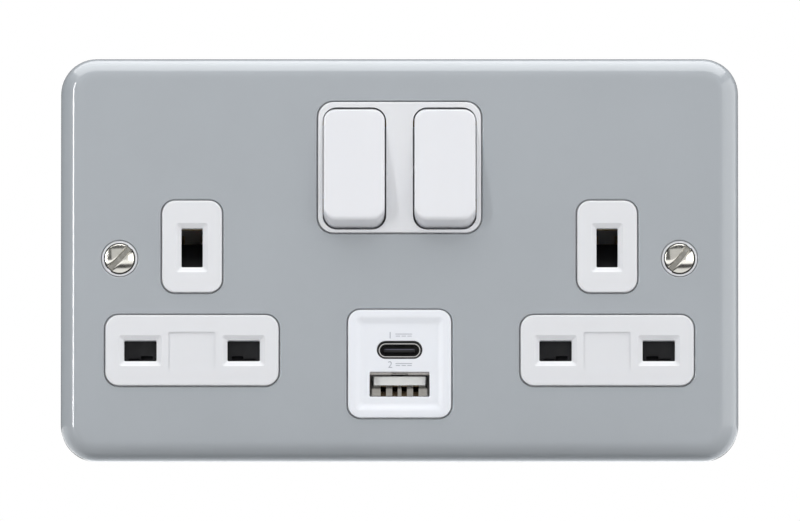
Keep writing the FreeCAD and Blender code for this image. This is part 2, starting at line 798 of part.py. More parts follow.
def tab(x):
    """The tab that carries a fixed contact at an arm's X."""
    low = button_z() - button_r - 0.4
    high = button_z() + button_r + 0.2
    sheet = box((x - tab_width / 2, x + tab_width / 2), (strip_plane, strip_back), (low, high))
    return [sheet, fixed_button(x)]


def tab_riser(x):
    """The stretch that joins a tab to the busbar above it."""
    half = tab_width / 2
    return box((x - half, x + half), (strip_plane, strip_back), (button_z(), busbar_z))


def terminal_pad(x, z):
    """The seat under a terminal block."""
    half = terminal_width / 2
    return box((x - half, x + half), (strip_plane, strip_back), (z - half, z + half))


def line_busbar():
    """From the line terminal over the right rocker's outer arm to the left rocker's inner arm."""
    far = -(rocker_x - pole_pitch / 2)
    near = rocker_x + pole_pitch / 2
    low, high = busbar_z - busbar_width / 2, busbar_z + busbar_width / 2
    end = terminal_x + terminal_width / 2
    bar = box((far - tab_width / 2, end), (strip_plane, strip_back), (low, high))
    link = box((terminal_x, end), (strip_plane, strip_back), (terminal_z, high))
    pieces = [link, terminal_pad(terminal_x, terminal_z)]
    for x in (far, near):
        pieces += tab(x) + [tab_riser(x)]
    return joined(bar, *pieces)


def neutral_busbar():
    """From the neutral terminal to the left rocker, then behind the line bar to the right rocker."""
    near = -(rocker_x + pole_pitch / 2)
    far = rocker_x - pole_pitch / 2
    low, high = busbar_z - busbar_width / 2, busbar_z + busbar_width / 2
    deep = strip_back + crossing_step - strip_sheet
    step_x = near + tab_width / 2
    bar = box((-terminal_x - terminal_width / 2, step_x), (strip_plane, strip_back), (low, high))
    link = box((-terminal_x - terminal_width / 2, -terminal_x), (strip_plane, strip_back),
               (terminal_z, high))
    step = box((step_x - strip_sheet, step_x), (strip_plane, deep + strip_sheet), (low, high))
    crossing = box((step_x - strip_sheet, far + tab_width / 2), (deep, deep + strip_sheet), (low, high))
    foot = button_z() - button_r - 0.4
    half = tab_width / 2
    drop = box((far - half, far + half), (deep, deep + strip_sheet), (foot, high))
    shelf = box((far - half, far + half), (strip_plane, deep + strip_sheet), (foot, foot + strip_sheet))
    pieces = [link, terminal_pad(-terminal_x, terminal_z), step, crossing, drop, shelf, tab_riser(near)]
    return joined(bar, *pieces, *tab(near), *tab(far))


def earth_strap():
    """One strip: eyelets under both fixing screws, a clip at each earth pin, seats for both terminals."""
    half = strap_width / 2
    t = strip_sheet
    outer = strap_step_x
    shape = box((-outer, outer), (strap_plane, strap_back), (-half, half))
    add, cuts = [], []
    window = earth_hole[0] / 2 + strap_window_gap
    tall = earth_hole[1] / 2 + strap_window_gap
    for side in (-1, 1):
        x = side * socket_x
        add.append(box((x - window - strap_rim, x + window + strap_rim), (strap_plane, strap_back),
                       (-half, earth_hole_z + tall + 1.6)))
        cuts.append(box((x - window, x + window), (strap_plane - 1, strap_back + 1),
                        (earth_hole_z - tall, earth_hole_z + tall)))
        add.append(box((side * (outer - t), side * outer), (lug_strap_y, strap_back), (-half, half)))
        add.append(box((side * (outer - t), side * fixing_x), (lug_strap_y, lug_strap_y + t), (-half, half)))
        add.append(rod("y", (side * fixing_x, 0), half, lug_strap_y, lug_strap_y + t))
        cuts.append(rod("y", (side * fixing_x, 0), fixing_hole_r, lug_strap_y - 1, lug_strap_y + t + 1))
        low = earth_terminal_z - terminal_width / 2
        near = side * (earth_terminal_x + terminal_width / 2)
        add.append(box((near, near - side * t), (strap_plane, strip_back), (low, half)))
        add.append(box((near, near - side * terminal_width), (strip_plane, strip_back),
                       (low, low + terminal_width)))
    shape = joined(shape, *add).cut(cuts)
    gap = clip_half_gap
    pinch = (strap_plane + earth_clip_back) / 2
    leaf = [(window, strap_plane), (window + t, strap_plane), (gap + t, pinch),
            (gap + t + clip_flare, earth_clip_back), (gap + clip_flare, earth_clip_back), (gap, pinch)]
    low, high = earth_hole_z - earth_clip_width / 2, earth_hole_z + earth_clip_width / 2
    leaves = []
    for side in (-1, 1):
        for way in (-1, 1):
            points = [(side * socket_x + way * d, y) for d, y in leaf]
            leaves.append(flat_prism(points, low, high))
    return joined(shape, *leaves)


def terminal(x, z):
    """A brass terminal block: wire bore along Z, clamping screw's thread from the rear."""
    half = terminal_width / 2
    block = box((x - half, x + half), (strip_back, housing_inside), (z - half, z + half))
    edges = [e for e in block.Edges if abs(e.Vertexes[0].Point.z - e.Vertexes[1].Point.z) > 1]
    block = block.makeFillet(0.6, edges)
    bore = rod("z", (x, terminal_bore_depth), terminal_bore_r, z - half - 1, z + half + 1)
    thread = rod("y", (x, z), terminal_screw_r, terminal_bore_depth, housing_inside + 1)
    return block.cut([bore, thread])


def terminal_places():
    """Name, X and Z of each terminal."""
    return [("line_terminal", terminal_x, terminal_z), ("neutral_terminal", -terminal_x, terminal_z),
            ("earth_terminal_left", -earth_terminal_x, earth_terminal_z),
            ("earth_terminal_right", earth_terminal_x, earth_terminal_z)]


def terminal_screw(x, z):
    """A headless slotted screw, backed off until it is just clear of the wire bore."""
    start = terminal_bore_depth + terminal_bore_r + 0.1
    screw = rod("y", (x, z), terminal_screw_r, start, start + terminal_screw_length)
    slot = box((x - terminal_screw_r - 1, x + terminal_screw_r + 1),
               (start + terminal_screw_length - 1.2, start + terminal_screw_length + 1),
               (z - terminal_screw_slot / 2, z + terminal_screw_slot / 2))
    return screw.cut(slot)


def headed_screw(x, z, seat, bite, shank_r, head_r, head):
    """A cylinder-head screw driven towards the front: seat is the plane under its head."""
    shank = rod("y", (x, z), shank_r, bite, seat)
    top = rod("y", (x, z), head_r, seat, seat + head)
    top = top.makeFillet(head * 0.35, [e for e in top.Edges if e.Vertexes[0].Point.y > seat + head - 1e-6
                                       and len(e.Vertexes) == 1])
    slot = box((x - head_r - 1, x + head_r + 1), (seat + head * 0.5, seat + head + 1),
               (z - driver_slot / 2, z + driver_slot / 2))
    return joined(shank, top).cut(slot)


def rear_housing():
    """The back half of the body: shell, screw columns, supports under the brass, holes for wires."""
    shell = body_outline(0.0, split_plane, housing_depth)
    room = body_outline(body_wall, split_plane - 1, housing_inside)
    add = []
    for x, z in post_places():
        add.append(rod("y", (x, z), column_r, split_plane, housing_depth))
    for side in (-1, 1):
        for pin in (-1, 1):
            x = side * socket_x + pin * pin_pitch / 2
            add.append(support(x, line_hole_z, clip_back + clip_seat, 2 * rib, 2 * rib))
        for pole in (-1, 1):
            add.append(support(side * rocker_x + pole * pole_pitch / 2, rocker_z, strip_back, rib, rib))
        add.append(support(side * outer_strip_x * 0.72, outer_strip_z, strip_back, rib / 2, strip_width))
        x = side * (rocker_x + pole_pitch / 2 + tab_width)
        add.append(support(x, busbar_z, strip_back, rib, busbar_width / 2))
        add.append(support(side * outer_strip_x, 0, strip_back, rib, rib))
        add += ribs(side)
    inside = body_outline(body_wall / 2, split_plane, housing_depth)
    shape = joined(shell.cut(room), *[piece.common(inside) for piece in add])
    cuts = []
    for x, z in post_places():
        cuts.append(rod("y", (x, z), body_screw_r + 0.2, split_plane - 1, housing_depth + 1))
        cuts.append(rod("y", (x, z), body_screw_head_r + 0.2, body_screw_seat, housing_depth + 1))
    w, d = wire_window
    for name, x, z in terminal_places():
        cuts.append(rod("y", (x, z), terminal_screw_r + access_gap, housing_inside - 1, housing_depth + 1))
        way = -1 if name.startswith("earth") else 1
        cuts.append(box((x - w / 2, x + w / 2), (terminal_bore_depth - d / 2, terminal_bore_depth + d / 2),
                        (way * (inner_z - 2), way * (body_height / 2 + 1))))
    return shape.cut(cuts)


def support(x, z, front, half_x, half_z):
    """A pillar from the housing's floor up to a plane."""
    back = housing_depth - housing_floor / 2
    return box((x - half_x, x + half_x), (front, back), (z - half_z, z + half_z))


def ribs(side):
    """Barrier walls between the live parts on one side, from the floor to the strips' backs."""
    wall = rib / 2
    back = housing_depth - housing_floor / 2
    board_back = board_plane + board_thickness
    x_usb = side * (board_size[0] / 2 + 0.2 + wall)
    x_mid = side * (terminal_x - terminal_width / 2 - 1.6)
    return [
        box((x_usb - wall, x_usb + wall), (board_back + 0.3, back),
            (-inner_z - 0.5, board_z + board_size[1] / 2)),
        box((x_mid - wall, x_mid + wall), (strip_back + 0.3, back),
            (terminal_z - terminal_width / 2, inner_z - 3.5)),
        box((side * (socket_x - 6), side * (socket_x + 6)), (clip_back, back),
            (line_hole_z - wall, line_hole_z + wall)),
    ]


def usb_bezel():
    """The USB panel: flange in the plate's opening, sunken face, hollow neck with hooks behind the slab."""
    w, h, r = usb_island
    flange = plate(0, usb_island_z, w, h, r, island_front, sheet_back)
    flange = front_rounded(flange, island_front, island_edge_r)
    nw, nh = w - 2 * usb_neck_inset, h - 2 * usb_neck_inset
    neck = plate(0, usb_island_z, nw, nh, r - usb_neck_gap, sheet_back, usb_neck_back)
    hw, hy, hx = usb_hook
    hooks = []
    for side in (-1, 1):
        edge = side * nw / 2
        points = [(edge - side * 0.5, slab_back), (edge + side * hx, slab_back), (edge, slab_back + hy),
                  (edge - side * 0.5, slab_back + hy)]
        hooks.append(flat_prism(points, usb_island_z - hw / 2, usb_island_z + hw / 2))
    shape = joined(flange, neck, *hooks)
    panel = island_front + usb_panel_depth
    outer_w, outer_h = w - 2 * usb_rim, h - 2 * usb_rim
    mouth = plate(0, usb_island_z, outer_w, outer_h, 1.2, island_front, panel)
    slope = 2 * usb_rim_slope
    floor = plate(0, usb_island_z, outer_w - slope, outer_h - slope, 0.8, panel, panel + 1)
    rings = [min(s.Faces, key=lambda f: f.CenterOfMass.y).OuterWire for s in (mouth, floor)]
    recess = Part.makeLoft(rings, True, True)
    hollow = plate(0, usb_island_z, nw - 2 * usb_neck_wall, nh - 2 * usb_neck_wall, 1.0,
                   panel + usb_panel_wall, usb_neck_back + 1)
    c_w, c_h = usb_c_cut
    a_w, a_h = usb_a_shell
    cuts = [recess, hollow,
            plate(0, usb_c_z, c_w, c_h, c_h / 2 - 0.01, island_front, sheet_back + 4),
            box((-a_w / 2 - 0.1, a_w / 2 + 0.1), (island_front, sheet_back + 4),
                (usb_a_z - a_h / 2 - 0.1, usb_a_z + a_h / 2 + 0.1))]
    return shape.cut(cuts)


def port_front():
    """The plane of both ports' front edges, a little behind the sunken face."""
    return island_front + usb_panel_depth + usb_port_setback


def usb_c_shell_part():
    """The small port's seamless metal shell, closed behind by the insulator."""
    w, h = usb_c_shell
    t = usb_c_sheet
    front = port_front()
    outer = plate(0, usb_c_z, w, h, h / 2 - 0.01, front, front + usb_c_length)
    inner = plate(0, usb_c_z, w - 2 * t, h - 2 * t, h / 2 - t - 0.01, front - 1, front + usb_c_length + 1)
    return outer.cut(inner)


def usb_c_insulator():
    """The small port's tongue and its body down to the circuit board."""
    w, h = usb_c_shell
    t = usb_c_sheet
    front = port_front()
    tw, th, reach = usb_c_tongue
    root = front + usb_c_length - 1.6
    tongue = plate(0, usb_c_z, tw, th, 0.2, root - reach, root)
    plug = plate(0, usb_c_z, w - 2 * t, h - 2 * t, h / 2 - t - 0.01, root, front + usb_c_length)
    riser = box((-w / 2, w / 2), (front + usb_c_length, board_plane), (usb_c_z - h / 2, usb_c_z + h / 2))
    return joined(tongue, plug, riser)


def usb_a_shell_part():
    """The large port's folded metal shell, with a notch in its upper front edge, down to the board."""
    w, h = usb_a_shell
    t = usb_a_sheet
    front = port_front()
    outer = box((-w / 2, w / 2), (front, board_plane), (usb_a_z - h / 2, usb_a_z + h / 2))
    inner = box((-w / 2 + t, w / 2 - t), (front - 1, board_plane + 1),
                (usb_a_z - h / 2 + t, usb_a_z + h / 2 - t))
    nw, nd = usb_a_notch
    notch = box((-nw / 2, nw / 2), (front - 1, front + nd), (usb_a_z, usb_a_z + h / 2 + 1))
    return outer.cut([inner, notch])


def usb_a_insulator():
    """The large port's tongue, in the upper half of the shell, and its block on the board."""
    w, h = usb_a_shell
    t = usb_a_sheet
    tw, th, reach = usb_a_tongue
    front = board_plane - usb_a_block()
    z = usb_a_z + usb_a_tongue_rise
    tongue = box((-tw / 2, tw / 2), (front - reach, front), (z - th / 2, z + th / 2))
    bottom = usb_a_z - h / 2 + t
    block = box((-w / 2 + t, w / 2 - t), (front, board_plane), (bottom, usb_a_z + h / 2 - t))
    half = usb_a_contact[0] / 2 + usb_a_tail_play
    slots = [box((x - half, x + half), (front - 1, front + usb_a_tail_sink + usb_a_contact[1]),
                 (bottom - 1, z - th / 2)) for x in usb_a_contact_pitches]
    return joined(tongue, block.cut(slots))


def usb_a_block():
    """The length of the large port's block behind its tongue."""
    return board_plane - port_front() - usb_a_tongue[2] - 0.8


def usb_a_contacts():
    """Four sprung contacts of the large port: a leaf bowed away from its tongue, its tail in a slot."""
    cw, ct, reach, bow = usb_a_contact
    root = board_plane - usb_a_block()
    under = usb_a_z + usb_a_tongue_rise - usb_a_tongue[1] / 2
    bottom = usb_a_z - usb_a_shell[1] / 2 + usb_a_sheet + usb_a_tail_play
    tail = (root + usb_a_tail_sink, root + usb_a_tail_sink + ct)
    line = [(tail[1], 0), (root, 0), (root - reach * 0.4, -bow), (root - reach * 0.75, -bow),
            (root - reach, 0)]
    upper = [(y, under + z) for y, z in line]
    lower = [(y, under + z - ct) for y, z in reversed(line)]
    contacts = []
    for x in usb_a_contact_pitches:
        leaf = prism(upper + lower, x - cw / 2, x + cw / 2)
        contacts.append(joined(leaf, box((x - cw / 2, x + cw / 2), tail, (bottom, under))))
    return Part.makeCompound(contacts)


def usb_circuit_board():
    """The charger's circuit board, upright behind both ports."""
    w, h = board_size
    return plate(0, board_z, w, h, 0.8, board_plane, board_plane + board_thickness)


def usb_transformer():
    """The charger's transformer: two ferrite halves with the winding's bobbin between, as one block."""
    w, d, h = transformer_size
    y = board_plane + board_thickness
    low, high = transformer_z - h / 2, transformer_z + h / 2
    core = box((-w / 2, w / 2), (y, y + d), (low + 1.6, high - 1.6))
    bobbin = box((-w / 2 + 1.8, w / 2 - 1.8), (y, y + d - 0.8), (low, high))
    return joined(core, bobbin)


def usb_capacitor():
    """The charger's electrolytic capacitor, lying on the board."""
    y = board_plane + board_thickness + capacitor_r
    can = rod("x", (y, capacitor_z), capacitor_r, -capacitor_length / 2, capacitor_length / 2)
    return can.makeFillet(0.5, [e for e in can.Edges if len(e.Vertexes) == 1])


def plate_screws():
    """The four screws from behind through the ears into the plate's bosses."""
    seat = sheet_back + boss_height + ear_thickness
    end = sheet_back + boss_height - plate_screw_bite
    size = (plate_screw_r, plate_screw_head_r, plate_screw_head)
    return Part.makeCompound([headed_screw(x, z, seat, end, *size) for x, z in corners(boss_x, boss_z)])


def housing_screws():
    """The four screws from behind through the rear housing's columns into the front moulding's posts."""
    end = split_plane - body_screw_bite
    size = (body_screw_r, body_screw_head_r, body_screw_head)
    return Part.makeCompound([headed_screw(x, z, body_screw_seat, end, *size) for x, z in post_places()])


def build():
    """All pieces by name, in their rest pose: both switches off, both shutters shut."""
    parts["front_plate"] = front_plate()
    parts["front_moulding"] = front_moulding()
    parts["fixing_screw_left"] = fixing_screw(-fixing_x, left_slot_angle)
    parts["fixing_screw_right"] = fixing_screw(fixing_x, right_slot_angle)
    for name, side in (("left", -1), ("right", 1)):
        x = side * rocker_x
        rest = -rocker_throw_angle / 2
        parts[f"rocker_{name}"] = turned(moved(rocker(), x, pivot_y, rocker_z), rest, pivot_y, rocker_z)
        for pole, way in (("outer", side), ("inner", -side)):
            at = x + way * pole_pitch / 2
            key = f"{name}_{pole}"
            parts[f"switch_plunger_{key}"] = turned(
                moved(plunger(), at, pivot_y, rocker_z), rest, pivot_y, rocker_z)
            parts[f"plunger_spring_{key}"] = turned(
                moved(plunger_spring(), at, pivot_y, rocker_z), rest, pivot_y, rocker_z)
            parts[f"switch_arm_{key}"] = turned(
                moved(switch_arm(), at, arm_axis_y, rocker_z), arm_tilt, arm_axis_y, rocker_z)
        parts[f"shutter_{name}"] = shutter(side * socket_x)
        parts[f"shutter_spring_{name}"] = shutter_spring(side * socket_x)
    parts["line_contact_right"] = outer_contact()
    parts["neutral_contact_left"] = mirrored(outer_contact())
    parts["neutral_contact_right"] = inner_contact()
    parts["line_contact_left"] = mirrored(inner_contact())
    parts["line_busbar"] = line_busbar()
    parts["neutral_busbar"] = neutral_busbar()
    parts["earth_strap"] = earth_strap()
    for name, x, z in terminal_places():
        parts[name] = terminal(x, z)
    parts["terminal_screws"] = Part.makeCompound([terminal_screw(x, z) for _, x, z in terminal_places()])
    parts["usb_bezel"] = usb_bezel()
    parts["usb_c_shell"] = usb_c_shell_part()
    parts["usb_c_insulator"] = usb_c_insulator()
    parts["usb_a_shell"] = usb_a_shell_part()
    parts["usb_a_insulator"] = usb_a_insulator()
    parts["usb_a_contacts"] = usb_a_contacts()
    parts["usb_circuit_board"] = usb_circuit_board()
    parts["usb_transformer"] = usb_transformer()
    parts["usb_capacitor"] = usb_capacitor()
    parts["rear_housing"] = rear_housing()
    parts["plate_screws"] = plate_screws()
    parts["housing_screws"] = housing_screws()


build()
os.makedirs("parts", exist_ok=True)
for name, shape in parts.items():
    shape.exportStep(f"parts/{name}.step")
    print(f"{name}: {len(shape.Solids)} solid, {shape.Volume:.1f} mm3, valid {shape.isValid()}")
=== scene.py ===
"""Two-gang switched wall socket with a painted metal plate and two USB ports, dressed around its frame."""

import json
import math

import bmesh
import bpy
import numpy as np
from bpy.props import FloatProperty, FloatVectorProperty, PointerProperty
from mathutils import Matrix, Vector
from mathutils.geometry import tessellate_polygon


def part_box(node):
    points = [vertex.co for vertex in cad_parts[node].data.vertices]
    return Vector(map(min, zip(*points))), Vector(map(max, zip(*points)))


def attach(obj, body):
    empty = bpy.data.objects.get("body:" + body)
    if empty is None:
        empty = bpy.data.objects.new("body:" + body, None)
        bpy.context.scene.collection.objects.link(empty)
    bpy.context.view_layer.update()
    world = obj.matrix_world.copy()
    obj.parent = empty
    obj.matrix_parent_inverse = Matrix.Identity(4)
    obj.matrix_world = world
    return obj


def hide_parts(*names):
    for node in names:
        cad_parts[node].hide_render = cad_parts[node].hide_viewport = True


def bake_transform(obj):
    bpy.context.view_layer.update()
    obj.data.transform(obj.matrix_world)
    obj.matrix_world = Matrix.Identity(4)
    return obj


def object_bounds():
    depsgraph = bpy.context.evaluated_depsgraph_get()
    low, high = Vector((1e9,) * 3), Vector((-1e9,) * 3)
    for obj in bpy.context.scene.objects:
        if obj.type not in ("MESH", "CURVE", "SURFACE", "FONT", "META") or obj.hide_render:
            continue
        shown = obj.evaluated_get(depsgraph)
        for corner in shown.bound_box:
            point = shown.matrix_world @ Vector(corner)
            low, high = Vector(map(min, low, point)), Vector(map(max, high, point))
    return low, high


bl_info = {
    "name": "Wall Socket",
    "version": (1, 0, 0),
    "blender": (4, 5, 0),
    "location": "View3D > Sidebar > Wall Socket",
    "description": "Builds the visible pieces, finishes and stage of a double wall socket",
    "category": "Object",
}

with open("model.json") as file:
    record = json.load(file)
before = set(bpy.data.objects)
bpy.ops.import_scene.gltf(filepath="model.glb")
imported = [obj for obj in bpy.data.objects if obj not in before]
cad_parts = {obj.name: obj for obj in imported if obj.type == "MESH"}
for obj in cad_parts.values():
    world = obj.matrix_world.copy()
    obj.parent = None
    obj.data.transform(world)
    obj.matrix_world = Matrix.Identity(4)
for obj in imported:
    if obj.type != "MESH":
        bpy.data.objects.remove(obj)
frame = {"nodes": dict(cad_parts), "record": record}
CAD_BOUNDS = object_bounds()
MM = 0.001


def box(name):
    """The low and high corners of a node's box, in millimetres."""
    return [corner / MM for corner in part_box(name)]


def in_mm(settings, names):
    """The lengths of some settings, in millimetres. Spaces part the names."""
    return [getattr(settings, name) / MM for name in names.split()]


PLATE_LOW, PLATE_HIGH = box("front_plate")
BEZEL_LOW, BEZEL_HIGH = box("usb_bezel")
SCREW_LOW, SCREW_HIGH = box("fixing_screw_right")
SCREW_X = (SCREW_LOW.x + SCREW_HIGH.x) / 2


# Meshes: every shape is worked out in millimetres as whole arrays and scaled to metres once

class Shell:
    """Collects the points and faces of one mesh."""

    def __init__(self):
        self.points, self.faces, self.count = [], [], 0

    def add(self, points, faces):
        """Adds points, an array of any shape ending in 3, and faces that count from their first point."""
        points = np.asarray(points, float).reshape(-1, 3)
        self.points.append(points)
        self.faces += (np.asarray(faces) + self.count).tolist()
        self.count += len(points)

    def fill(self, *loops):
        """Closes each of some loops with a flat face of its own."""
        for loop in loops:
            self.add(*cap(loop))

    def tube(self, loops, *ends):
        """Adds the surface through equal closed loops; ends are the numbers of the loops to close flat."""
        loops = np.asarray(loops)
        self.add(loops, grid(*loops.shape[:2], closed=True))
        self.fill(*[loops[end] for end in ends])

    def take(self, other, degrees, place):
        """Adds another shell's mesh, tilted and moved to its place."""
        self.points.append(tilted(np.concatenate(other.points), degrees, place))
        self.faces += [[i + self.count for i in face] for face in other.faces]
        self.count += other.count

    def object(self, context, name, body, slot, sharp=35.0, replaces=(), finish=None):
        """Makes the mesh object: doubles merged, faces outwards, smooth between its sharp edges.

        body is the body it rides on; for a spring it is two bodies and two places, which are not used. finish is its
        material, where that isn't the slot's.
        """
        mesh = bpy.data.meshes.new(name)
        mesh.from_pydata((np.concatenate(self.points) * MM).tolist(), [], self.faces)
        work = bmesh.new()
        work.from_mesh(mesh)
        bmesh.ops.remove_doubles(work, verts=work.verts, dist=1e-7)
        bmesh.ops.dissolve_degenerate(work, edges=work.edges, dist=1e-8)
        bmesh.ops.recalc_face_normals(work, faces=work.faces)
        work.to_mesh(mesh)
        work.free()
        mesh.shade_smooth()
        mesh.set_sharp_from_angle(angle=math.radians(sharp))
        mesh.materials.append(finishes(context)[finish or slot])
        piece = linked(context, name, mesh)
        if isinstance(body, str):
            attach(piece, body)
        else:
            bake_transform(piece)
        if replaces:
            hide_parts(*replaces)


def linked(context, name, data):
    """A new object in the scene."""
    made = bpy.data.objects.new(name, data)
    context.scene.collection.objects.link(made)
    return made


def grid(rows, columns, closed=False):
    """Quads between the neighbours of a grid of points, the last column joined to the first if closed."""
    i, j = np.meshgrid(np.arange(rows - 1), np.arange(columns if closed else columns - 1), indexing="ij")
    across = (j + 1) % columns
    corners = (i * columns + j, i * columns + across, (i + 1) * columns + across, (i + 1) * columns + j)
    return np.stack(corners, -1).reshape(-1, 4)


def unit(vectors):
    """Vectors brought to a length of one."""
    return vectors / np.maximum(np.linalg.norm(vectors, axis=1)[:, None], 1e-9)


def rounded(place, size, radius, offsets, least=0.05, arc=10):
    """Loops of a rounded rectangle, one for each offset of its outline.

    A point is a corner's centre plus the corner radius times (cos a, sin a), with a in even steps round each
    quarter. The offset widens the outline and the radius together, down to a least radius.
    """
    offsets = np.asarray(offsets, float)[:, None, None]
    quarter = np.linspace(0, np.pi / 2, arc + 1)
    angle = quarter[None, :] + np.arange(4)[:, None] * np.pi / 2
    sign = np.array([[1, 1], [-1, 1], [-1, -1], [1, -1]])
    r = np.maximum(radius + offsets, least)
    x = sign[:, :1] * (size[0] / 2 + offsets - r) + r * np.cos(angle)
    z = sign[:, 1:] * (size[1] / 2 + offsets - r) + r * np.sin(angle)
    loops = np.stack([x + place[0], z + place[1]], -1)
    return loops.reshape(len(offsets), -1, 2)


def upright(loops, depths):
    """Loops in (x, z), each at its own depth y."""
    depths = np.broadcast_to(np.asarray(depths, float)[:, None], loops.shape[:2])
    return np.stack([loops[..., 0], depths, loops[..., 1]], -1)


def cap(*loops):
    """Triangles that fill an outer loop and leave out the loops inside it."""
    points = np.concatenate(loops)
    lists = [[Vector(p) for p in loop.tolist()] for loop in loops]
    return points, np.array(tessellate_polygon(lists))


def swept(shell, place, size, radius, profile, least=0.05, arc=10):
    """A profile of (offset, depth) rows carried round a rounded rectangle. Returns its first and last loops."""
    profile = np.asarray(profile, float)
    loops = upright(rounded(place, size, radius, profile[:, 0], least, arc), profile[:, 1])
    shell.tube(loops)
    return loops[0], loops[-1]


def pierced(shell, outer, outer_profile, holes=(), arc=10, least=0.05):
    """A closed panel: its outer profile runs from the front face to the back face, as does each hole's.

    outer is (place, size, radius). A hole is the same followed by its profile. Both faces are filled flat between
    the outer loop and the holes' loops.
    """
    ends = [swept(shell, *outer, outer_profile, least, arc)]
    ends += [swept(shell, *hole, arc=arc) for hole in holes]
    for side in (0, 1):
        shell.add(*cap(*[end[side] for end in ends]))


def quarter_round(start, end, steps):
    """Profile rows of a rounded edge from start to end, leaving along the offset and arriving along the depth.

    The curve is a quarter of an ellipse: sin a along the offset and 1 - cos a along the depth, for a quarter turn.
    """
    a = np.linspace(0, np.pi / 2, steps + 1)
    share = np.stack([np.sin(a), 1 - np.cos(a)], -1)
    return np.asarray(start) + (np.asarray(end) - start) * share


def blended(a, b, c, steps):
    """Points of the curve that leaves a towards b and arrives at c from b: a(1-s)^2 + 2b s(1-s) + c s^2."""
    s = np.linspace(0, 1, steps + 1).reshape((-1,) + (1,) * a.ndim)
    return a * (1 - s) ** 2 + 2 * b * s * (1 - s) + c * s ** 2


def tilted(points, degrees, place):
    """Points turned about the X line through the origin, then moved to their place."""
    a = math.radians(degrees)
    x, y, z = np.moveaxis(np.asarray(points, float), -1, 0)
    turned = np.stack([x, y * math.cos(a) - z * math.sin(a), y * math.sin(a) + z * math.cos(a)], -1)
    return turned + np.asarray(place, float)


# Sizes and colours that a user would change

def length(name, text, millimetres, least=0.0):
    """A length property, given in millimetres."""
    return FloatProperty(name=name, description=text, default=millimetres * MM, min=least * MM, unit="LENGTH",
                         precision=5)


def angle(name, text, degrees):
    """An angle property, given in degrees."""
    return FloatProperty(name=name, description=text, default=math.radians(degrees), unit="ROTATION")


def colour(name, text, value):
    """A colour property."""
    return FloatVectorProperty(name=name, description=text, default=value, size=3, min=0.0, max=1.0,
                               subtype="COLOR")


class WALLSOCKET_PG_plate(bpy.types.PropertyGroup):
    """Sizes of the pressed metal front plate."""

    sheet: length("Sheet", "Thickness of the plate's steel", 1.2)
    corner: length("Corner radius", "Radius of the plate's corners seen from the front", 7.7)
    edge: length("Edge radius", "Radius of the rounded edge all round", 4.2)
    lip: length("Opening edge", "How far the paint rounds each opening's edge", 0.3)
    gap: length("Gap", "Gap between each opening and its island", 0.25)
    paint: colour("Paint", "Colour of the paint", (0.355, 0.382, 0.410))


class WALLSOCKET_PG_rocker(bpy.types.PropertyGroup):
    """Sizes of the two switch rockers."""

    width: length("Width", "Width of a rocker", 13.2)
    length: length("Length", "Height of a rocker seen from the front", 25.9)
    corner: length("Corner radius", "Radius of a rocker's corners", 2.8)
    rise: length("Rise", "Height of the face in front of the trunnions", 5.4)
    shoulder: length("Shoulder", "Depth at which the sloping ends meet the sides", 1.2)
    flat: length("Face length", "Length of the flat face between the sloping ends", 24.5)
    soft: length("Soft edge", "Width of the rounding along the face's sides", 0.45)
    end_soft: length("Soft ends", "Further width of the rounding along the face's ends", 0.45)
    tilt: angle("Rest tilt", "Tilt of a switched-off rocker", -10.0)
    face_tilt: angle("Face tilt", "Tilt of a switched-off rocker's cap", -9.0)
    plastic: colour("Plastic", "Colour of the rockers", (0.69, 0.698, 0.727))


class WALLSOCKET_PG_screw(bpy.types.PropertyGroup):
    """Sizes of the two fixing screws."""

    head: length("Head radius", "Radius of the screw head", 3.4)
    rise: length("Head rise", "Height of the domed head", 0.7)
    lip: length("Head lip", "Depth of the rounded lip round the dome", 0.2)
    slot: length("Slot width", "Width of the driver slot", 1.1)
    slot_depth: length("Slot depth", "Depth of the driver slot", 0.95)
    pitch: length("Thread pitch", "Pitch of the screw's thread", 0.6)
    left_turn: angle("Left slot", "Angle of the left slot", 47.0)
    right_turn: angle("Right slot", "Angle of the right slot", 51.0)


class WALLSOCKET_PG_panel_sizes(bpy.types.PropertyGroup):
    """Sizes of the white panel round the USB ports."""

    rim: length("Rim", "Width of the flat rim", 1.3)
    slope: length("Slope", "Width of the soft slope down to the sunken face", 1.9)
    sunk: length("Sunk", "How far the face lies behind the rim", 0.5)
    edge: length("Edge radius", "Radius of the panel's outer edge", 0.2)
    cut_edge: length("Cut edge", "Radius of the port cut-outs' edges", 0.1)


class WALLSOCKET_PG_stage(bpy.types.PropertyGroup):
    """Camera and lights."""

    distance: length("Camera distance", "From the plate's face to the camera", 4000.0)
    below: angle("Camera below", "How far below the face's axis the camera stands", 4.0)
    view_width: length("View width", "Width of the picture at the plate's face", 172.3)
    view_x: length("View middle X", "Middle of the picture, to the right of the plate's", 0.09, -100.0)
    view_z: length("View middle Z", "Middle of the picture, above the plate's", -0.41, -100.0)
    surround: FloatProperty(name="Surround", description="Brightness of the room around the object",
                            default=0.08, min=0.0)


# Finishes

def group(name, inputs, outputs):
    """A new shader node group: its tree, what it is given and what it puts out.

    inputs are (name, type, default), outputs (name, type).
    """
    tree = bpy.data.node_groups.new(name, "ShaderNodeTree")
    for label, kind, default in inputs:
        socket = tree.interface.new_socket(label, in_out="INPUT", socket_type="NodeSocket" + kind)
        if default is not None:
            socket.default_value = default
    for label, kind in outputs:
        tree.interface.new_socket(label, in_out="OUTPUT", socket_type="NodeSocket" + kind)
    return tree, tree.nodes.new("NodeGroupInput").outputs, tree.nodes.new("NodeGroupOutput").inputs


def feed(tree, sockets, values):
    """Gives input sockets, by name or place, their values: each is a constant or the socket that feeds it."""
    for key, value in values.items():
        if isinstance(value, bpy.types.NodeSocket):
            tree.links.new(value, sockets[key])
        else:
            sockets[key].default_value = value


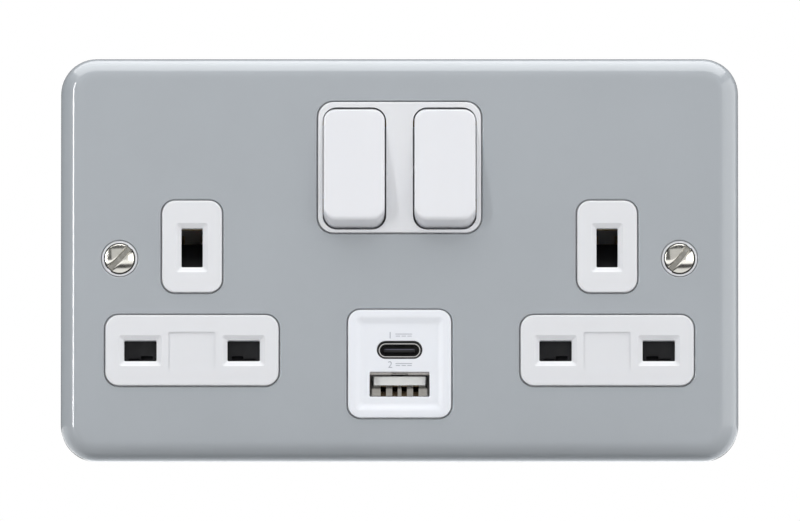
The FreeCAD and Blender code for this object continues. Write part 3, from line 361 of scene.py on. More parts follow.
def node(tree, kind, values=(), **settings):
    """A new node's outputs, with its settings made and its inputs fed."""
    made = tree.nodes.new("ShaderNode" + kind)
    for name, value in settings.items():
        setattr(made, name, value)
    feed(tree, made.inputs, dict(values))
    return made.outputs


def noise(tree, vector, scale, detail=2.0, rough=0.5):
    """The value of a noise texture."""
    return node(tree, "TexNoise", {"Vector": vector, "Scale": scale, "Detail": detail, "Roughness": rough})["Fac"]


def spread(tree, value, low, high, to_low=0.0, to_high=1.0):
    """A value mapped from one range to another; each end is a number or a socket."""
    return node(tree, "MapRange", {"Value": value, "From Min": low, "From Max": high, "To Min": to_low,
                                   "To Max": to_high})["Result"]


def maths(tree, operation, a, b):
    """One arithmetic node; each side is a number or a socket."""
    return node(tree, "Math", {0: a, 1: b}, operation=operation)[0]


def mixed(tree, factor, a, b):
    """Two colours mixed by a factor."""
    return node(tree, "Mix", {0: factor, 6: a, 7: b}, data_type="RGBA")[2]


def tone_group():
    """Group: cloudy drift of a colour towards a second one, at a scale."""
    tree, given, out = group("Tone drift", [
        ("Vector", "Vector", None), ("Scale", "Float", 60.0), ("Colour", "Color", (0.8, 0.8, 0.8, 1.0)),
        ("Second Colour", "Color", (0.7, 0.7, 0.7, 1.0)),
    ], [("Colour", "Color")])
    factor = spread(tree, noise(tree, given["Vector"], given["Scale"], 3.0, 0.6), 0.32, 0.68)
    feed(tree, out, {"Colour": mixed(tree, factor, given["Colour"], given["Second Colour"])})


def grain_group():
    """Group: two sizes of fine grain, as a height and as a roughness between two values."""
    tree, given, out = group("Fine grain", [
        ("Vector", "Vector", None), ("Scale", "Float", 3000.0), ("Low Roughness", "Float", 0.4),
        ("High Roughness", "Float", 0.5),
    ], [("Height", "Float"), ("Roughness", "Float")])
    fine = noise(tree, given["Vector"], given["Scale"])
    broad = noise(tree, given["Vector"], maths(tree, "MULTIPLY", given["Scale"], 0.21))
    height = maths(tree, "ADD", maths(tree, "MULTIPLY", fine, 0.45), maths(tree, "MULTIPLY", broad, 0.55))
    feed(tree, out, {"Height": height, "Roughness": spread(
        tree, broad, 0.3, 0.7, given["Low Roughness"], given["High Roughness"])})


def drawn_group():
    """Group: fine lines along one direction, as rolled or drawn metal has, with broader smears."""
    tree, given, out = group("Drawn lines", [
        ("Vector", "Vector", None), ("Stretch", "Vector", (1.0, 1.0, 1.0)), ("Scale", "Float", 2500.0),
        ("Low Roughness", "Float", 0.2), ("High Roughness", "Float", 0.35),
    ], [("Height", "Float"), ("Roughness", "Float"), ("Smear", "Float")])
    stretched = node(tree, "VectorMath", {0: given["Vector"], 1: given["Stretch"]}, operation="MULTIPLY")[0]
    lines = noise(tree, stretched, given["Scale"], 3.0, 0.55)
    smear = noise(tree, given["Vector"], maths(tree, "MULTIPLY", given["Scale"], 0.12), 3.0, 0.6)
    both = maths(tree, "ADD", maths(tree, "MULTIPLY", lines, 0.5), maths(tree, "MULTIPLY", smear, 0.5))
    feed(tree, out, {"Height": lines, "Smear": smear, "Roughness": spread(
        tree, both, 0.35, 0.65, given["Low Roughness"], given["High Roughness"])})


def painted_shade_group():
    """Group: painted shade: a colour that turns to a darker one as a place runs from start to end, with an uneven
    edge.
    """
    tree, given, out = group("Painted shade", [
        ("Vector", "Vector", None), ("Place", "Float", 0.0), ("Start", "Float", 0.0), ("End", "Float", 0.001),
        ("Colour", "Color", (0.8, 0.8, 0.8, 1.0)), ("Soiled Colour", "Color", (0.1, 0.1, 0.1, 1.0)),
    ], [("Colour", "Color")])
    uneven = spread(tree, noise(tree, given["Vector"], 900.0), 0.0, 1.0, -0.00006, 0.00006)
    factor = spread(tree, maths(tree, "ADD", given["Place"], uneven), given["Start"], given["End"])
    feed(tree, out, {"Colour": mixed(tree, factor, given["Colour"], given["Soiled Colour"])})


def shaded(value, factor=1.0):
    """A colour scaled towards dark, with its alpha."""
    return tuple(c * factor for c in value[:3]) + (1.0,)


def base_material(name, fixed):
    """A material with the constant sockets of its Principled shader set.

    Returns it with its tree, that shader's inputs and the Object coordinates.
    """
    material = bpy.data.materials.new(name)
    material.use_nodes = True
    tree = material.node_tree
    shader = tree.nodes["Principled BSDF"].inputs
    feed(tree, shader, fixed)
    return material, tree, shader, node(tree, "TexCoord")["Object"]


def placed(tree, name, **values):
    """A node group placed in a material with its own values, named with underscores for spaces."""
    values = {label.replace("_", " "): value for label, value in values.items()}
    return node(tree, "Group", values, node_tree=bpy.data.node_groups[name])


def bumped(tree, height, distance):
    """The normal of a height that shades the surface, at a real depth in metres."""
    return node(tree, "Bump", {"Strength": 1.0, "Distance": distance, "Height": height})["Normal"]


def plastic(name, value, low, high, drift, grain=2600.0, depth=1.5e-6, glow=0.12, coat=0.0):
    """A moulded plastic: faint cloudy tone, fine mould grain and a little light carried under the surface."""
    material, tree, shader, place = base_material(name, {
        "IOR": 1.5, "Subsurface Weight": glow, "Subsurface Scale": 0.0012, "Subsurface Radius": (1.0, 0.9, 0.8),
        "Coat Roughness": 0.1, "Coat Weight": coat})
    tone = placed(tree, "Tone drift", Vector=place, Scale=60.0, Colour=shaded(value),
                  Second_Colour=shaded(value, drift))
    texture = placed(tree, "Fine grain", Vector=place, Scale=grain, Low_Roughness=low, High_Roughness=high)
    feed(tree, shader, {"Base Color": tone["Colour"], "Roughness": texture["Roughness"],
                        "Normal": bumped(tree, texture["Height"], depth)})
    return material


def metal(name, value, second, low, high, stretch=(1.0, 1.0, 1.0), scale=2500.0, painted_shades=()):
    """A bare or plated metal: drawn lines in its roughness and height, and smears of a second tone.

    Each painted shade is how far to look (an axis letter, or "Radius" from a fixing screw's middle), the places
    where it starts and is full, and how dark it is.
    """
    material, tree, shader, place = base_material(name, {"Metallic": 1.0})
    lines = placed(tree, "Drawn lines", Vector=place, Stretch=stretch, Scale=scale, Low_Roughness=low,
                   High_Roughness=high)
    tone = mixed(tree, spread(tree, lines["Smear"], 0.35, 0.7), shaded(value), shaded(second))
    for where, begin, full, dark in painted_shades:
        tone = placed(tree, "Painted shade", Vector=place, Place=looked_up(tree, place, where), Start=begin, End=full,
                      Colour=tone, Soiled_Colour=shaded(second, dark))["Colour"]
    feed(tree, shader, {"Base Color": tone, "Roughness": lines["Roughness"],
                        "Normal": bumped(tree, lines["Height"], 1.0e-6)})
    return material


def looked_up(tree, place, where):
    """One of the Object coordinates, or the distance from the nearer fixing screw's middle line."""
    if where != "Radius":
        return node(tree, "SeparateXYZ", {0: place})[where]
    steps = (("ABSOLUTE", (0.0, 0.0, 0.0)), ("SUBTRACT", (SCREW_X * MM, 0.0, 0.0)), ("MULTIPLY", (1.0, 0.0, 1.0)))
    for operation, second in steps:
        place = node(tree, "VectorMath", {0: place, 1: second}, operation=operation)[0]
    return node(tree, "VectorMath", {0: place}, operation="LENGTH")["Value"]


def painted_glow_inside(material, deep, low, wide, value):
    """Adds painted glow, an emission that stands in for the light gathering inside a port, from one depth, height
    and half width to another.
    """
    tree = material.node_tree
    apart = node(tree, "SeparateXYZ", {0: node(tree, "TexCoord")["Object"]})
    share = maths(tree, "MULTIPLY", spread(tree, apart["Y"], *deep), spread(tree, apart["Z"], *low))
    beside = maths(tree, "ABSOLUTE", apart["X"], 0.0)
    share = maths(tree, "MULTIPLY", share, spread(tree, beside, *wide))
    feed(tree, tree.nodes["Principled BSDF"].inputs, {
        "Emission Color": mixed(tree, share, shaded(value, 0.0), shaded(value)), "Emission Strength": 1.0})


def plate_paint(name, value):
    """Glossy stoved paint: fine orange peel under a clear top, dark flecks and a slight drift of tone."""
    material, tree, shader, place = base_material(name, {
        "IOR": 1.5, "Coat Weight": 1.0, "Coat Roughness": 0.06, "Coat IOR": 1.55})
    tone = placed(tree, "Tone drift", Vector=place, Scale=45.0, Colour=shaded(value),
                  Second_Colour=shaded(value, 0.965))
    peel = placed(tree, "Fine grain", Vector=place, Scale=2600.0, Low_Roughness=0.36, High_Roughness=0.46)
    fleck = spread(tree, noise(tree, place, 5200.0, 1.0), 0.62, 0.8, 0.0, 0.12)
    feed(tree, shader, {"Base Color": mixed(tree, fleck, tone["Colour"], shaded(value, 0.72)),
                        "Roughness": peel["Roughness"], "Normal": bumped(tree, peel["Height"], 4.0e-6)})
    return material


# what plastic() takes after the name: colour, roughness from and to, drift of tone, grain, its depth, glow, coat
PLASTICS = {
    "white_moulding": ((0.705, 0.714, 0.738), 0.3, 0.35, 0.992),
    "white_usb": ((0.77, 0.79, 0.833), 0.28, 0.3, 0.998),
    "white_nylon": ((0.72, 0.71, 0.66), 0.35, 0.45, 0.93),
    "rear_plastic": ((0.74, 0.75, 0.76), 0.42, 0.55, 0.94, 1800.0, 4.0e-6),
    "black_shutter": ((0.006, 0.006, 0.008), 0.55, 0.65, 0.8, 2200.0, 2.0e-6, 0.0),
    "port_black": ((0.012, 0.012, 0.015), 0.3, 0.45, 0.8, 2600.0, 1.5e-6, 0.0),
    "port_white": ((0.86, 0.87, 0.85), 0.35, 0.45, 0.95),
    "port_tongue": ((0.012, 0.012, 0.015), 0.4, 0.5, 0.8),
    "port_ink": ((0.43, 0.45, 0.50), 0.4, 0.5, 0.9),
    "board_green": ((0.02, 0.12, 0.05), 0.3, 0.45, 0.75, 1500.0, 6.0e-6, 0.0, 0.4),
    "ferrite": ((0.05, 0.048, 0.045), 0.55, 0.75, 0.7, 900.0, 1.0e-5, 0.0),
    "capacitor_sleeve": ((0.02, 0.03, 0.06), 0.25, 0.35, 0.85, 1200.0, 2.0e-6, 0.0, 0.3),
}
ACROSS = (0.1, 1.0, 1.0)
PORT_STEEL = ((0.60, 0.585, 0.56), (0.50, 0.48, 0.45))
PORT_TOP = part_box("usb_a_shell")[1].z
# what metal() takes after the name: two colours, roughness from and to, stretch of its lines, their scale, painted
# shades
METALS = {
    # painted shade on the screws: darker on the head's lower lip and under it, near black round the head's rim
    "screw_nickel": ((0.92, 0.90, 0.84), (0.82, 0.80, 0.73), 0.07, 0.16, (1.0, 1.0, 1.0), 2500.0, (
        ("Y", (SCREW_LOW.y + 0.8) * MM, (SCREW_LOW.y + 0.88) * MM, 0.55), ("Radius", 0.003, 0.00312, 0.05))),
    "screw_zinc": ((0.62, 0.64, 0.66), (0.50, 0.50, 0.46), 0.25, 0.42),
    "spring_steel": ((0.55, 0.55, 0.55), (0.42, 0.41, 0.40), 0.22, 0.35),
    "brass": ((0.76, 0.60, 0.31), (0.66, 0.48, 0.22), 0.2, 0.36, (1.0, 1.0, 0.12)),
    "port_steel": (*PORT_STEEL, 0.12, 0.24, ACROSS, 4000.0),
    # painted shade: the large port's shell turns near black below a band along its top
    "port_shade": (*PORT_STEEL, 0.2, 0.34, ACROSS, 4000.0, (("Z", PORT_TOP - 0.0005, PORT_TOP - 0.0008, 0.16),)),
    "port_bright": ((0.86, 0.85, 0.84), (0.78, 0.77, 0.75), 0.15, 0.25, ACROSS, 4000.0),
    # painted shade: the contacts' gold is darkened far below real gold, for contacts that sit in the port's shade
    "contact_gold": ((0.20, 0.15, 0.09), (0.12, 0.085, 0.06), 0.2, 0.34, (1.0, 0.15, 1.0), 5000.0),
}
FINISHES = {}


def finishes(context):
    """All materials by slot, made once."""
    if FINISHES:
        return FINISHES
    for make in (tone_group, grain_group, drawn_group, painted_shade_group):
        make()
    scene = context.scene
    FINISHES["plate_paint"] = plate_paint("plate_paint", scene.wall_socket_plate.paint)
    FINISHES["white_rocker"] = plastic("white_rocker", scene.wall_socket_rocker.plastic, 0.3, 0.34, 0.994)
    for table, make in ((PLASTICS, plastic), (METALS, metal)):
        for name, values in table.items():
            FINISHES[name] = make(name, *values)
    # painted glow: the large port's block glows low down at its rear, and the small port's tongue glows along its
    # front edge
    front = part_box("usb_a_insulator")[0].y
    painted_glow_inside(FINISHES["port_white"], (front + 0.003, front + 0.005), (-0.0272, -0.0276), (0.0061, 0.0058),
                (0.26, 0.25, 0.23))
    low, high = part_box("usb_c_insulator")
    middle = (low.z + high.z) / 2
    painted_glow_inside(FINISHES["port_tongue"], (low.y + 0.0004, low.y + 0.0002), (middle + 0.00014, middle + 0.0002),
                (0.0034, 0.0028), (0.09, 0.09, 0.125))
    return FINISHES


def dress(context, *nodes, **others):
    """Gives carried-over nodes their finish: that of the slot that the record names, or another one."""
    slots = {part["node"]: part["material_slot"] for part in frame["record"]["subparts"]}
    for name in (*nodes, *others):
        for slot in frame["nodes"][name].material_slots:
            slot.material = finishes(context)[others.get(name, slots[name])]


# The pieces

# place, size and corner radius of the plate's openings, from the layout of the islands that fill them
OPENINGS = (
    ((0.0, 19.7), (35.1, 28.2), 3.3),
    ((-44.7, 2.6), (12.9, 19.8), 2.8), ((44.7, 2.6), (12.9, 19.8), 2.8),
    ((-44.7, -19.8), (37.3, 15.2), 2.9), ((44.7, -19.8), (37.3, 15.2), 2.9),
    ((0.0, -22.7), (22.2, 23.25), 2.7),
)
# the fixing screws: radius of their holes in the plate, of the plain neck and of the thread's core
SCREW_HOLE, SCREW_NECK, SCREW_CORE = 3.925, 1.55, 1.35
BOSS_X, BOSS_Z = 30.0, 38.0
# depth and height of the line that the rockers tilt about
PIVOT = (-6.0, 19.45)
# size and corner radius of the USB panel's cut-outs and of the small port's ring
C_CUT, A_CUT, C_RING = ((9.84, 3.89), 1.94), ((12.9, 5.36), 0.25), ((9.0, 3.05), 1.515)
# the springs' wire radius and turns; a plunger's spring has a coil radius, and ends at depths from the pivot
SHUTTER_COIL, PLUNGER_COIL = (0.22, 6), (0.2, 4)
PLUNGER_COIL_RADIUS, PLUNGER_COIL_ENDS = 0.74, (-2.54, 1.54)


class WALLSOCKET_OT_front_plate(bpy.types.Operator):
    """Makes the pressed plate: rounded edge, openings with soft painted edges, hollow back and screw bosses"""

    bl_idname = "wallsocket.front_plate"
    bl_label = "Front plate"

    def execute(self, context):
        sheet, corner, edge, lip, gap = in_mm(context.scene.wall_socket_plate, "sheet corner edge lip gap")
        size = PLATE_HIGH - PLATE_LOW
        front, rear = PLATE_LOW.y, PLATE_HIGH.y
        back = front + sheet
        outer = ((0.0, 0.0), (size.x, size.z), corner)
        outside = np.concatenate([
            [(-edge - 0.4, front)], quarter_round((-edge, front), (0.0, front + edge), 14),
            [(0.0, rear - 0.25), (-0.08, rear - 0.06), (-0.3, rear), (-sheet, rear)],
            quarter_round((-edge, back), (-sheet, front + edge), 10)[::-1], [(-edge - 0.4, back)]])
        rim = np.concatenate([[(lip + 0.3, front)], quarter_round((lip, front), (0.0, front + lip), 5),
                              [(0.0, back - 0.08), (0.08, back), (0.4, back)]])
        holes = [(*opening, rim + (gap, 0.0)) for opening in OPENINGS]
        holes += [((side * SCREW_X, 0.0), (2 * SCREW_HOLE,) * 2, SCREW_HOLE, rim) for side in (-1, 1)]
        shell = Shell()
        pierced(shell, outer, outside, holes, 12)
        for x in (-BOSS_X, BOSS_X):
            for z in (-BOSS_Z, BOSS_Z):
                self.boss(shell, x, z, back)
        shell.object(context, "plate_front", "socket", "plate_paint", 50.0, ["front_plate"])
        return {"FINISHED"}

    def boss(self, shell, x, z, back):
        """A welded boss: a tube with rounded shoulders, its screw hole open to the rear."""
        r, top, bore = 3.0, back + 3.6, 1.5
        profile = [(0.45, back - 0.3), (0.45, back + 0.05), (0.1, back + 0.35), (0.0, back + 0.8), (0.0, top - 0.25),
                   (-0.25, top), (bore - r + 0.2, top), (bore - r, top - 0.2), (bore - r, top - 2.4)]
        shell.fill(*swept(shell, (x, z), (2 * r, 2 * r), r, profile, 0.3, 6))


class WALLSOCKET_OT_rockers(bpy.types.Operator):
    """Makes both switch rockers: soft face, sloping ends with cut corners, hollow back, stem and trunnions"""

    bl_idname = "wallsocket.rockers"
    bl_label = "Switch rockers"

    def execute(self, context):
        for name in ("left", "right"):
            low, high = box(f"rocker_{name}")
            place = ((low.x + high.x) / 2, *PIVOT)
            shell = Shell()
            self.shape(shell, context.scene.wall_socket_rocker, place)
            shell.object(context, f"rocker_cap_{name}", f"rocker_{name}", "white_rocker",
                         replaces=[f"rocker_{name}"])
        return {"FINISHED"}

    def outline(self, sizes, depths, inset=0.0):
        """The side walls' loops at some depths: the ends keep one distance from the trunnions' axis."""
        width, tall, corner = in_mm(sizes, "width length corner")
        reach = tall / 2 - inset
        loops = [rounded((0, 0), (width - 2 * inset, 2 * math.sqrt(reach ** 2 - y ** 2)), corner - inset, [0.0], 0.3,
                         12) for y in depths]
        return upright(np.concatenate(loops), depths)

    def shape(self, shell, sizes, place):
        """The rocker's loops, from the middle of its face out and round to its hollow."""
        rise, shoulder, soft, end_soft = in_mm(sizes, "rise shoulder soft end_soft")
        width, flat, corner = in_mm(sizes, "width flat corner")
        rim, inner = [upright(rounded((0, 0), (width, flat), corner - 0.1, [offset], 0.3, 12), [-rise])[0]
                      for offset in (0.0, -1.0)]
        edge = self.outline(sizes, [-shoulder])[0]
        # the rounding is wider along the ends than along the sides
        facing = np.abs(rim[:, 2]) / (flat / 2)
        wide = (soft + end_soft * np.clip((facing - 0.8) / 0.2, 0, 1))[:, None]
        way, inward = unit(edge - rim), unit(inner - rim)
        start, turn = rim + inward * wide, rim + way * wide
        rows = [start + inward * 0.25]
        rows += list(blended(start, rim, turn, 8))
        ease = 0.16
        rows += list(blended(edge - way * ease * 2, edge, self.outline(sizes, [-shoulder + ease * 2])[0], 3))
        rows += list(self.outline(sizes, [0.0, 1.3]))
        rows += list(self.outline(sizes, [1.45, 1.5], 0.12))
        rows += list(self.outline(sizes, [1.5, 1.35, -1.0, -3.2], 1.5))
        shell.tube(tilted(rows, math.degrees(sizes.face_tilt), place), 0, -1)
        self.stem(shell, math.degrees(sizes.tilt), place)

    def stem(self, shell, tilt, place):
        """The stem with its two plunger bores, and the trunnions at both sides."""
        inner = Shell()
        outside = [(-0.3, -3.3), (0.0, -3.1), (0.0, 5.8), (-0.2, 6.0), (-0.35, 6.0)]
        first, last = swept(inner, (0, 0), (9.8, 4.4), 0.5, outside, 0.1, 4)
        bores = [swept(inner, (x, 0), (2.1, 2.1), 1.05, [(0.1, 6.0), (0.0, 5.9), (0.0, -2.6)], 0.2, 5)
                 for x in (-3.2, 3.2)]
        inner.fill(first, *[bore[1] for bore in bores])
        inner.add(*cap(last, *[bore[0] for bore in bores]))
        around = np.linspace(0, 2 * np.pi, 24, endpoint=False)
        for side in (-1, 1):
            along = np.array([5.2, 7.6, 7.8])[:, None]
            radius = np.array([1.2, 1.2, 1.0])[:, None]
            trunnion = np.stack([side * along + 0 * around, radius * np.cos(around), radius * np.sin(around)], -1)
            inner.tube(trunnion, 0, -1)
        shell.take(inner, tilt, place)


class WALLSOCKET_OT_fixing_screws(bpy.types.Operator):
    """Makes both fixing screws: domed slotted head, countersink, plain neck and cut thread"""

    bl_idname = "wallsocket.fixing_screws"
    bl_label = "Fixing screws"

    def execute(self, context):
        sizes = context.scene.wall_socket_screw
        for name, side, turn in (("left", -1, sizes.left_turn), ("right", 1, sizes.right_turn)):
            shell = Shell()
            self.head(shell, sizes, turn)
            self.shank(shell, sizes)
            shell.points = [p + (side * SCREW_X, 0, 0) for p in shell.points]
            shell.object(context, f"wall_screw_{name}", "socket", "screw_nickel",
                         replaces=[f"fixing_screw_{name}"])
        return {"FINISHED"}

    def head(self, shell, sizes, turn):
        """The dome: depth = top + rise (r / head)^2 plus a lip that grows with the square of the last bit of r.

        It is cut down to the slot's floor between the slot's two lines.

        The grid runs across the slot in fixed steps and along it in shares of the circle's half chord.
        """
        head, rise, lip, slot, floor = in_mm(sizes, "head rise lip slot slot_depth")
        top, half = SCREW_LOW.y, slot / 2
        rim = top + rise + lip
        steps = half + 0.16 + (head - half - 0.16) * np.sin(np.linspace(0, np.pi / 2, 16))
        across = np.concatenate([-steps[::-1], [-half - 0.06, -half, -half, -half + 0.08], [0.0],
                                 [half - 0.08, half, half, half + 0.06], steps])
        # how far each line lies under the dome; a 2 stands for the slot's floor and a 3 for its walls' foot
        drop = np.concatenate([np.zeros(16), [0.02, 0.1, 3, 2, 2, 2, 3, 0.1, 0.02], np.zeros(16)])[:, None]
        share = np.sin(np.linspace(-np.pi / 2, np.pi / 2, 33))
        u = np.broadcast_to(across[:, None], (len(across), len(share)))
        v = np.sqrt(np.maximum(head ** 2 - u ** 2, 0)) * share
        r2 = (u ** 2 + v ** 2) / head ** 2
        dome = top + rise * r2 + lip * np.clip((r2 - 0.84) / 0.16, 0, 1) ** 2
        cut = min(top + floor, rim - 0.02)
        slot = np.maximum(dome, cut - 0.08 * (drop == 3))
        depth = np.minimum(np.where(drop > 1, slot, dome + drop), rim)
        c, s = math.cos(turn), math.sin(turn)
        points = np.stack([v * c - u * s, depth, v * s + u * c], -1)
        shell.add(points, grid(*points.shape[:2]))
        # a ring between the dome's circle and the countersink closes the head
        edge = np.concatenate([points[:, 0], points[::-1, -1]])
        self.under(shell, edge, rim, head)

    def under(self, shell, edge, rim, head):
        """The countersink under the dome, straight down to the neck."""
        way = unit(edge[:, [0, 2]])
        rows = [edge]
        for radius, depth in ((head, rim), (head - 0.05, rim + 0.06), (SCREW_NECK, rim + 1.7)):
            ring = way * radius
            rows.append(np.stack([ring[:, 0], np.full(len(ring), depth), ring[:, 1]], -1))
        shell.tube(rows, -1)

    def shank(self, shell, sizes):
        """Neck and thread: the radius is the core's plus a ridge that climbs one pitch with each turn."""
        pitch = sizes.pitch / MM
        start, end = SCREW_LOW.y + 2.4, SCREW_HIGH.y
        steps = int((end + 1.5) / pitch * 8)
        depth = np.concatenate([np.linspace(start, -1.6, 6), np.linspace(-1.5, end, steps)])[:, None]
        around = np.linspace(0, 2 * np.pi, 28, endpoint=False)[None, :]
        phase = ((depth - around / (2 * np.pi) * pitch) / pitch) % 1.0
        ridge = 1 - np.abs(2 * phase - 1)
        ridge = np.clip(ridge * 1.25 - 0.1, 0, 1)
        fade = np.clip((depth + 1.5) / 0.5, 0, 1) * np.clip((end - depth) / 0.7, 0, 1)
        taper = np.clip((end - depth) / 0.55, 0, 1)
        radius = np.where(depth < -1.5, SCREW_NECK, (SCREW_CORE + 0.38 * ridge * fade) * (0.72 + 0.28 * taper))
        points = np.stack([radius * np.cos(around), depth + 0 * around, radius * np.sin(around)], -1)
        shell.tube(points, 0, -1)


class WALLSOCKET_OT_mouldings(bpy.types.Operator):
    """Finishes the white front moulding and the rear housing"""

    bl_idname = "wallsocket.mouldings"
    bl_label = "Mouldings"

    def execute(self, context):
        dress(context, "front_moulding", "rear_housing", "plate_screws", "housing_screws")
        return {"FINISHED"}


class WALLSOCKET_OT_shutters(bpy.types.Operator):
    """Finishes the black safety shutters"""

    bl_idname = "wallsocket.shutters"
    bl_label = "Shutters"

    def execute(self, context):
        dress(context, "shutter_left", "shutter_right")
        return {"FINISHED"}


class WALLSOCKET_OT_switch_gear(bpy.types.Operator):
    """Finishes the plungers and the switch arms"""

    bl_idname = "wallsocket.switch_gear"
    bl_label = "Switch gear"

    def execute(self, context):
        for key in ("left_outer", "left_inner", "right_outer", "right_inner"):
            dress(context, f"switch_plunger_{key}", f"switch_arm_{key}")
        return {"FINISHED"}


class WALLSOCKET_OT_springs(bpy.types.Operator):
    """Makes the coil springs of the plungers and shutters"""

    bl_idname = "wallsocket.springs"
    bl_label = "Springs"

    def execute(self, context):
        tilt = math.degrees(context.scene.wall_socket_rocker.tilt)
        for side in ("left", "right"):
            low, high = box(f"shutter_spring_{side}")
            middle = (low + high) / 2
            foot, top = (middle.x, middle.y, low.z), (middle.x, middle.y, high.z)
            coil = self.coil((high.x - low.x) / 2 - SHUTTER_COIL[0], *SHUTTER_COIL, high.z - low.z)
            self.make(context, f"shutter_spring_{side}", coil + foot, ("socket", f"shutter_{side}"), foot, top)
            for row in ("outer", "inner"):
                low, high = box(f"plunger_spring_{side}_{row}")
                place = ((low.x + high.x) / 2, *PIVOT)
                first, last = PLUNGER_COIL_ENDS
                x, y, z = np.moveaxis(self.coil(PLUNGER_COIL_RADIUS, *PLUNGER_COIL, last - first), -1, 0)
                coil = tilted(np.stack([x, z + first, -y], -1), tilt, place)
                ends = tilted([(0, first, 0), (0, last, 0)], tilt, place)
                self.make(context, f"plunger_spring_{side}_{row}", coil,
                          (f"rocker_{side}", f"switch_plunger_{side}_{row}"), *ends)
        return {"FINISHED"}

    def coil(self, radius, wire, turns, height):
        """A round wire on a helix along Z with its end turns drawn close, as loops round the wire.

        The wire's middle is (radius cos a, radius sin a, z). z is broken in two places, one turn from each end. The
        loop round it is the wire's radius times (cos b N + sin b B), with N away from the axis and B across both N
        and the wire's direction.
        """
        a = np.linspace(0, 2 * np.pi * turns, turns * 20 + 1)
        close = 3.4 * wire
        z = np.interp(a / (2 * np.pi), [0, 1, turns - 1, turns], [wire, close, height - close, height - wire])
        middle = np.stack([radius * np.cos(a), radius * np.sin(a), z], -1)
        along = unit(np.gradient(middle, axis=0))
        away = np.stack([np.cos(a), np.sin(a), 0 * a], -1)
        b = np.linspace(0, 2 * np.pi, 10, endpoint=False)[None, :, None]
        return middle[:, None] + wire * (np.cos(b) * away[:, None] + np.sin(b) * np.cross(along, away)[:, None])

    def make(self, context, replaced, loops, bodies, start, end):
        """One spring's mesh: a tube with flat ends, made in place between its two bodies."""
        shell = Shell()
        shell.tube(loops, 0, -1)
        places = [tuple(np.asarray(place) * MM) for place in (start, end)]
        shell.object(context, f"coil_{replaced}", (*bodies, *places), "spring_steel", 50.0, [replaced])


class WALLSOCKET_OT_brass_work(bpy.types.Operator):
    """Finishes the contacts, busbars, earth strap and terminals"""

    bl_idname = "wallsocket.brass_work"
    bl_label = "Brass work"

    def execute(self, context):
        dress(context, "line_contact_left", "line_contact_right", "neutral_contact_left",
              "neutral_contact_right", "line_busbar", "neutral_busbar", "earth_strap", "line_terminal",
              "neutral_terminal", "earth_terminal_left", "earth_terminal_right", "terminal_screws")
        return {"FINISHED"}


class WALLSOCKET_OT_usb_panel(bpy.types.Operator):
    """Makes the white panel round the USB ports: soft sunken face, port cut-outs, neck with two hooks"""

    bl_idname = "wallsocket.usb_panel"
    bl_label = "USB panel"

    def execute(self, context):
        rim, slope, sunk, edge, r = in_mm(context.scene.wall_socket_panel, "rim slope sunk edge cut_edge")
        front, neck_back = BEZEL_LOW.y, BEZEL_HIGH.y
        size = (BEZEL_HIGH.x - BEZEL_LOW.x, BEZEL_HIGH.z - BEZEL_LOW.z)
        outer = ((0.0, (BEZEL_LOW.z + BEZEL_HIGH.z) / 2), size, 2.7)
        floor, flange_back, panel_back = front + sunk, front + 1.6, front + 2.1
        s = np.linspace(1, 0, 17)
        # the slope's depth falls as half a cosine wave across its width
        soft = np.stack([-rim - slope * s, front + sunk * (1 - np.cos(np.pi * s)) / 2], -1)
        profile = np.concatenate([
            [(-rim - slope - 0.3, floor)], soft, quarter_round((-edge, front), (0.0, front + edge), 5),
            [(0.0, flange_back - 0.05), (-0.05, flange_back), (-2.25, flange_back), (-2.25, panel_back)]])
        mouth = [(r + 0.2, floor), (r, floor), (0.3 * r, floor + 0.3 * r), (0.0, floor + r), (0.0, panel_back)]
        c_place, a_place = [(0.0, sum(corner.z for corner in box(name)) / 2)
                            for name in ("usb_c_shell", "usb_a_shell")]
        shell = Shell()
        pierced(shell, outer, profile, [(c_place, *C_CUT, mouth), (a_place, *A_CUT, mouth)], 12, 0.8)
        neck_size = (size[0] - 4.4, size[1] - 4.4)
        tube = [(0.0, flange_back - 0.1), (0.0, neck_back - 0.15), (-0.15, neck_back), (-1.15, neck_back),
                (-1.3, neck_back - 0.15), (-1.3, flange_back - 0.1), (0.0, flange_back - 0.1)]
        swept(shell, outer[0], neck_size, 2.5, tube, 0.5, 8)
        for side in (-1, 1):
            self.hook(shell, side, neck_size[0] / 2, outer[0][1], flange_back + 2.6)
        shell.object(context, "usb_panel", "socket", "white_usb", replaces=["usb_bezel"])
        return {"FINISHED"}

    def hook(self, shell, side, edge, middle, back):
        """A wedge on the neck's side that holds the panel behind the moulding: its outline is drawn out along Z."""
        line = np.array([(edge - 0.5, back), (edge + 0.6, back), (edge + 0.6, back + 0.15), (edge, back + 1.0),
                         (edge - 0.5, back + 1.0)])
        rows = [np.stack([side * line[:, 0], line[:, 1], np.full(5, z)], -1) for z in (middle - 3.0, middle + 3.0)]
        shell.tube(rows)
        for row in rows:
            shell.add(row, [[0, 1, 2], [0, 2, 3], [0, 3, 4]])


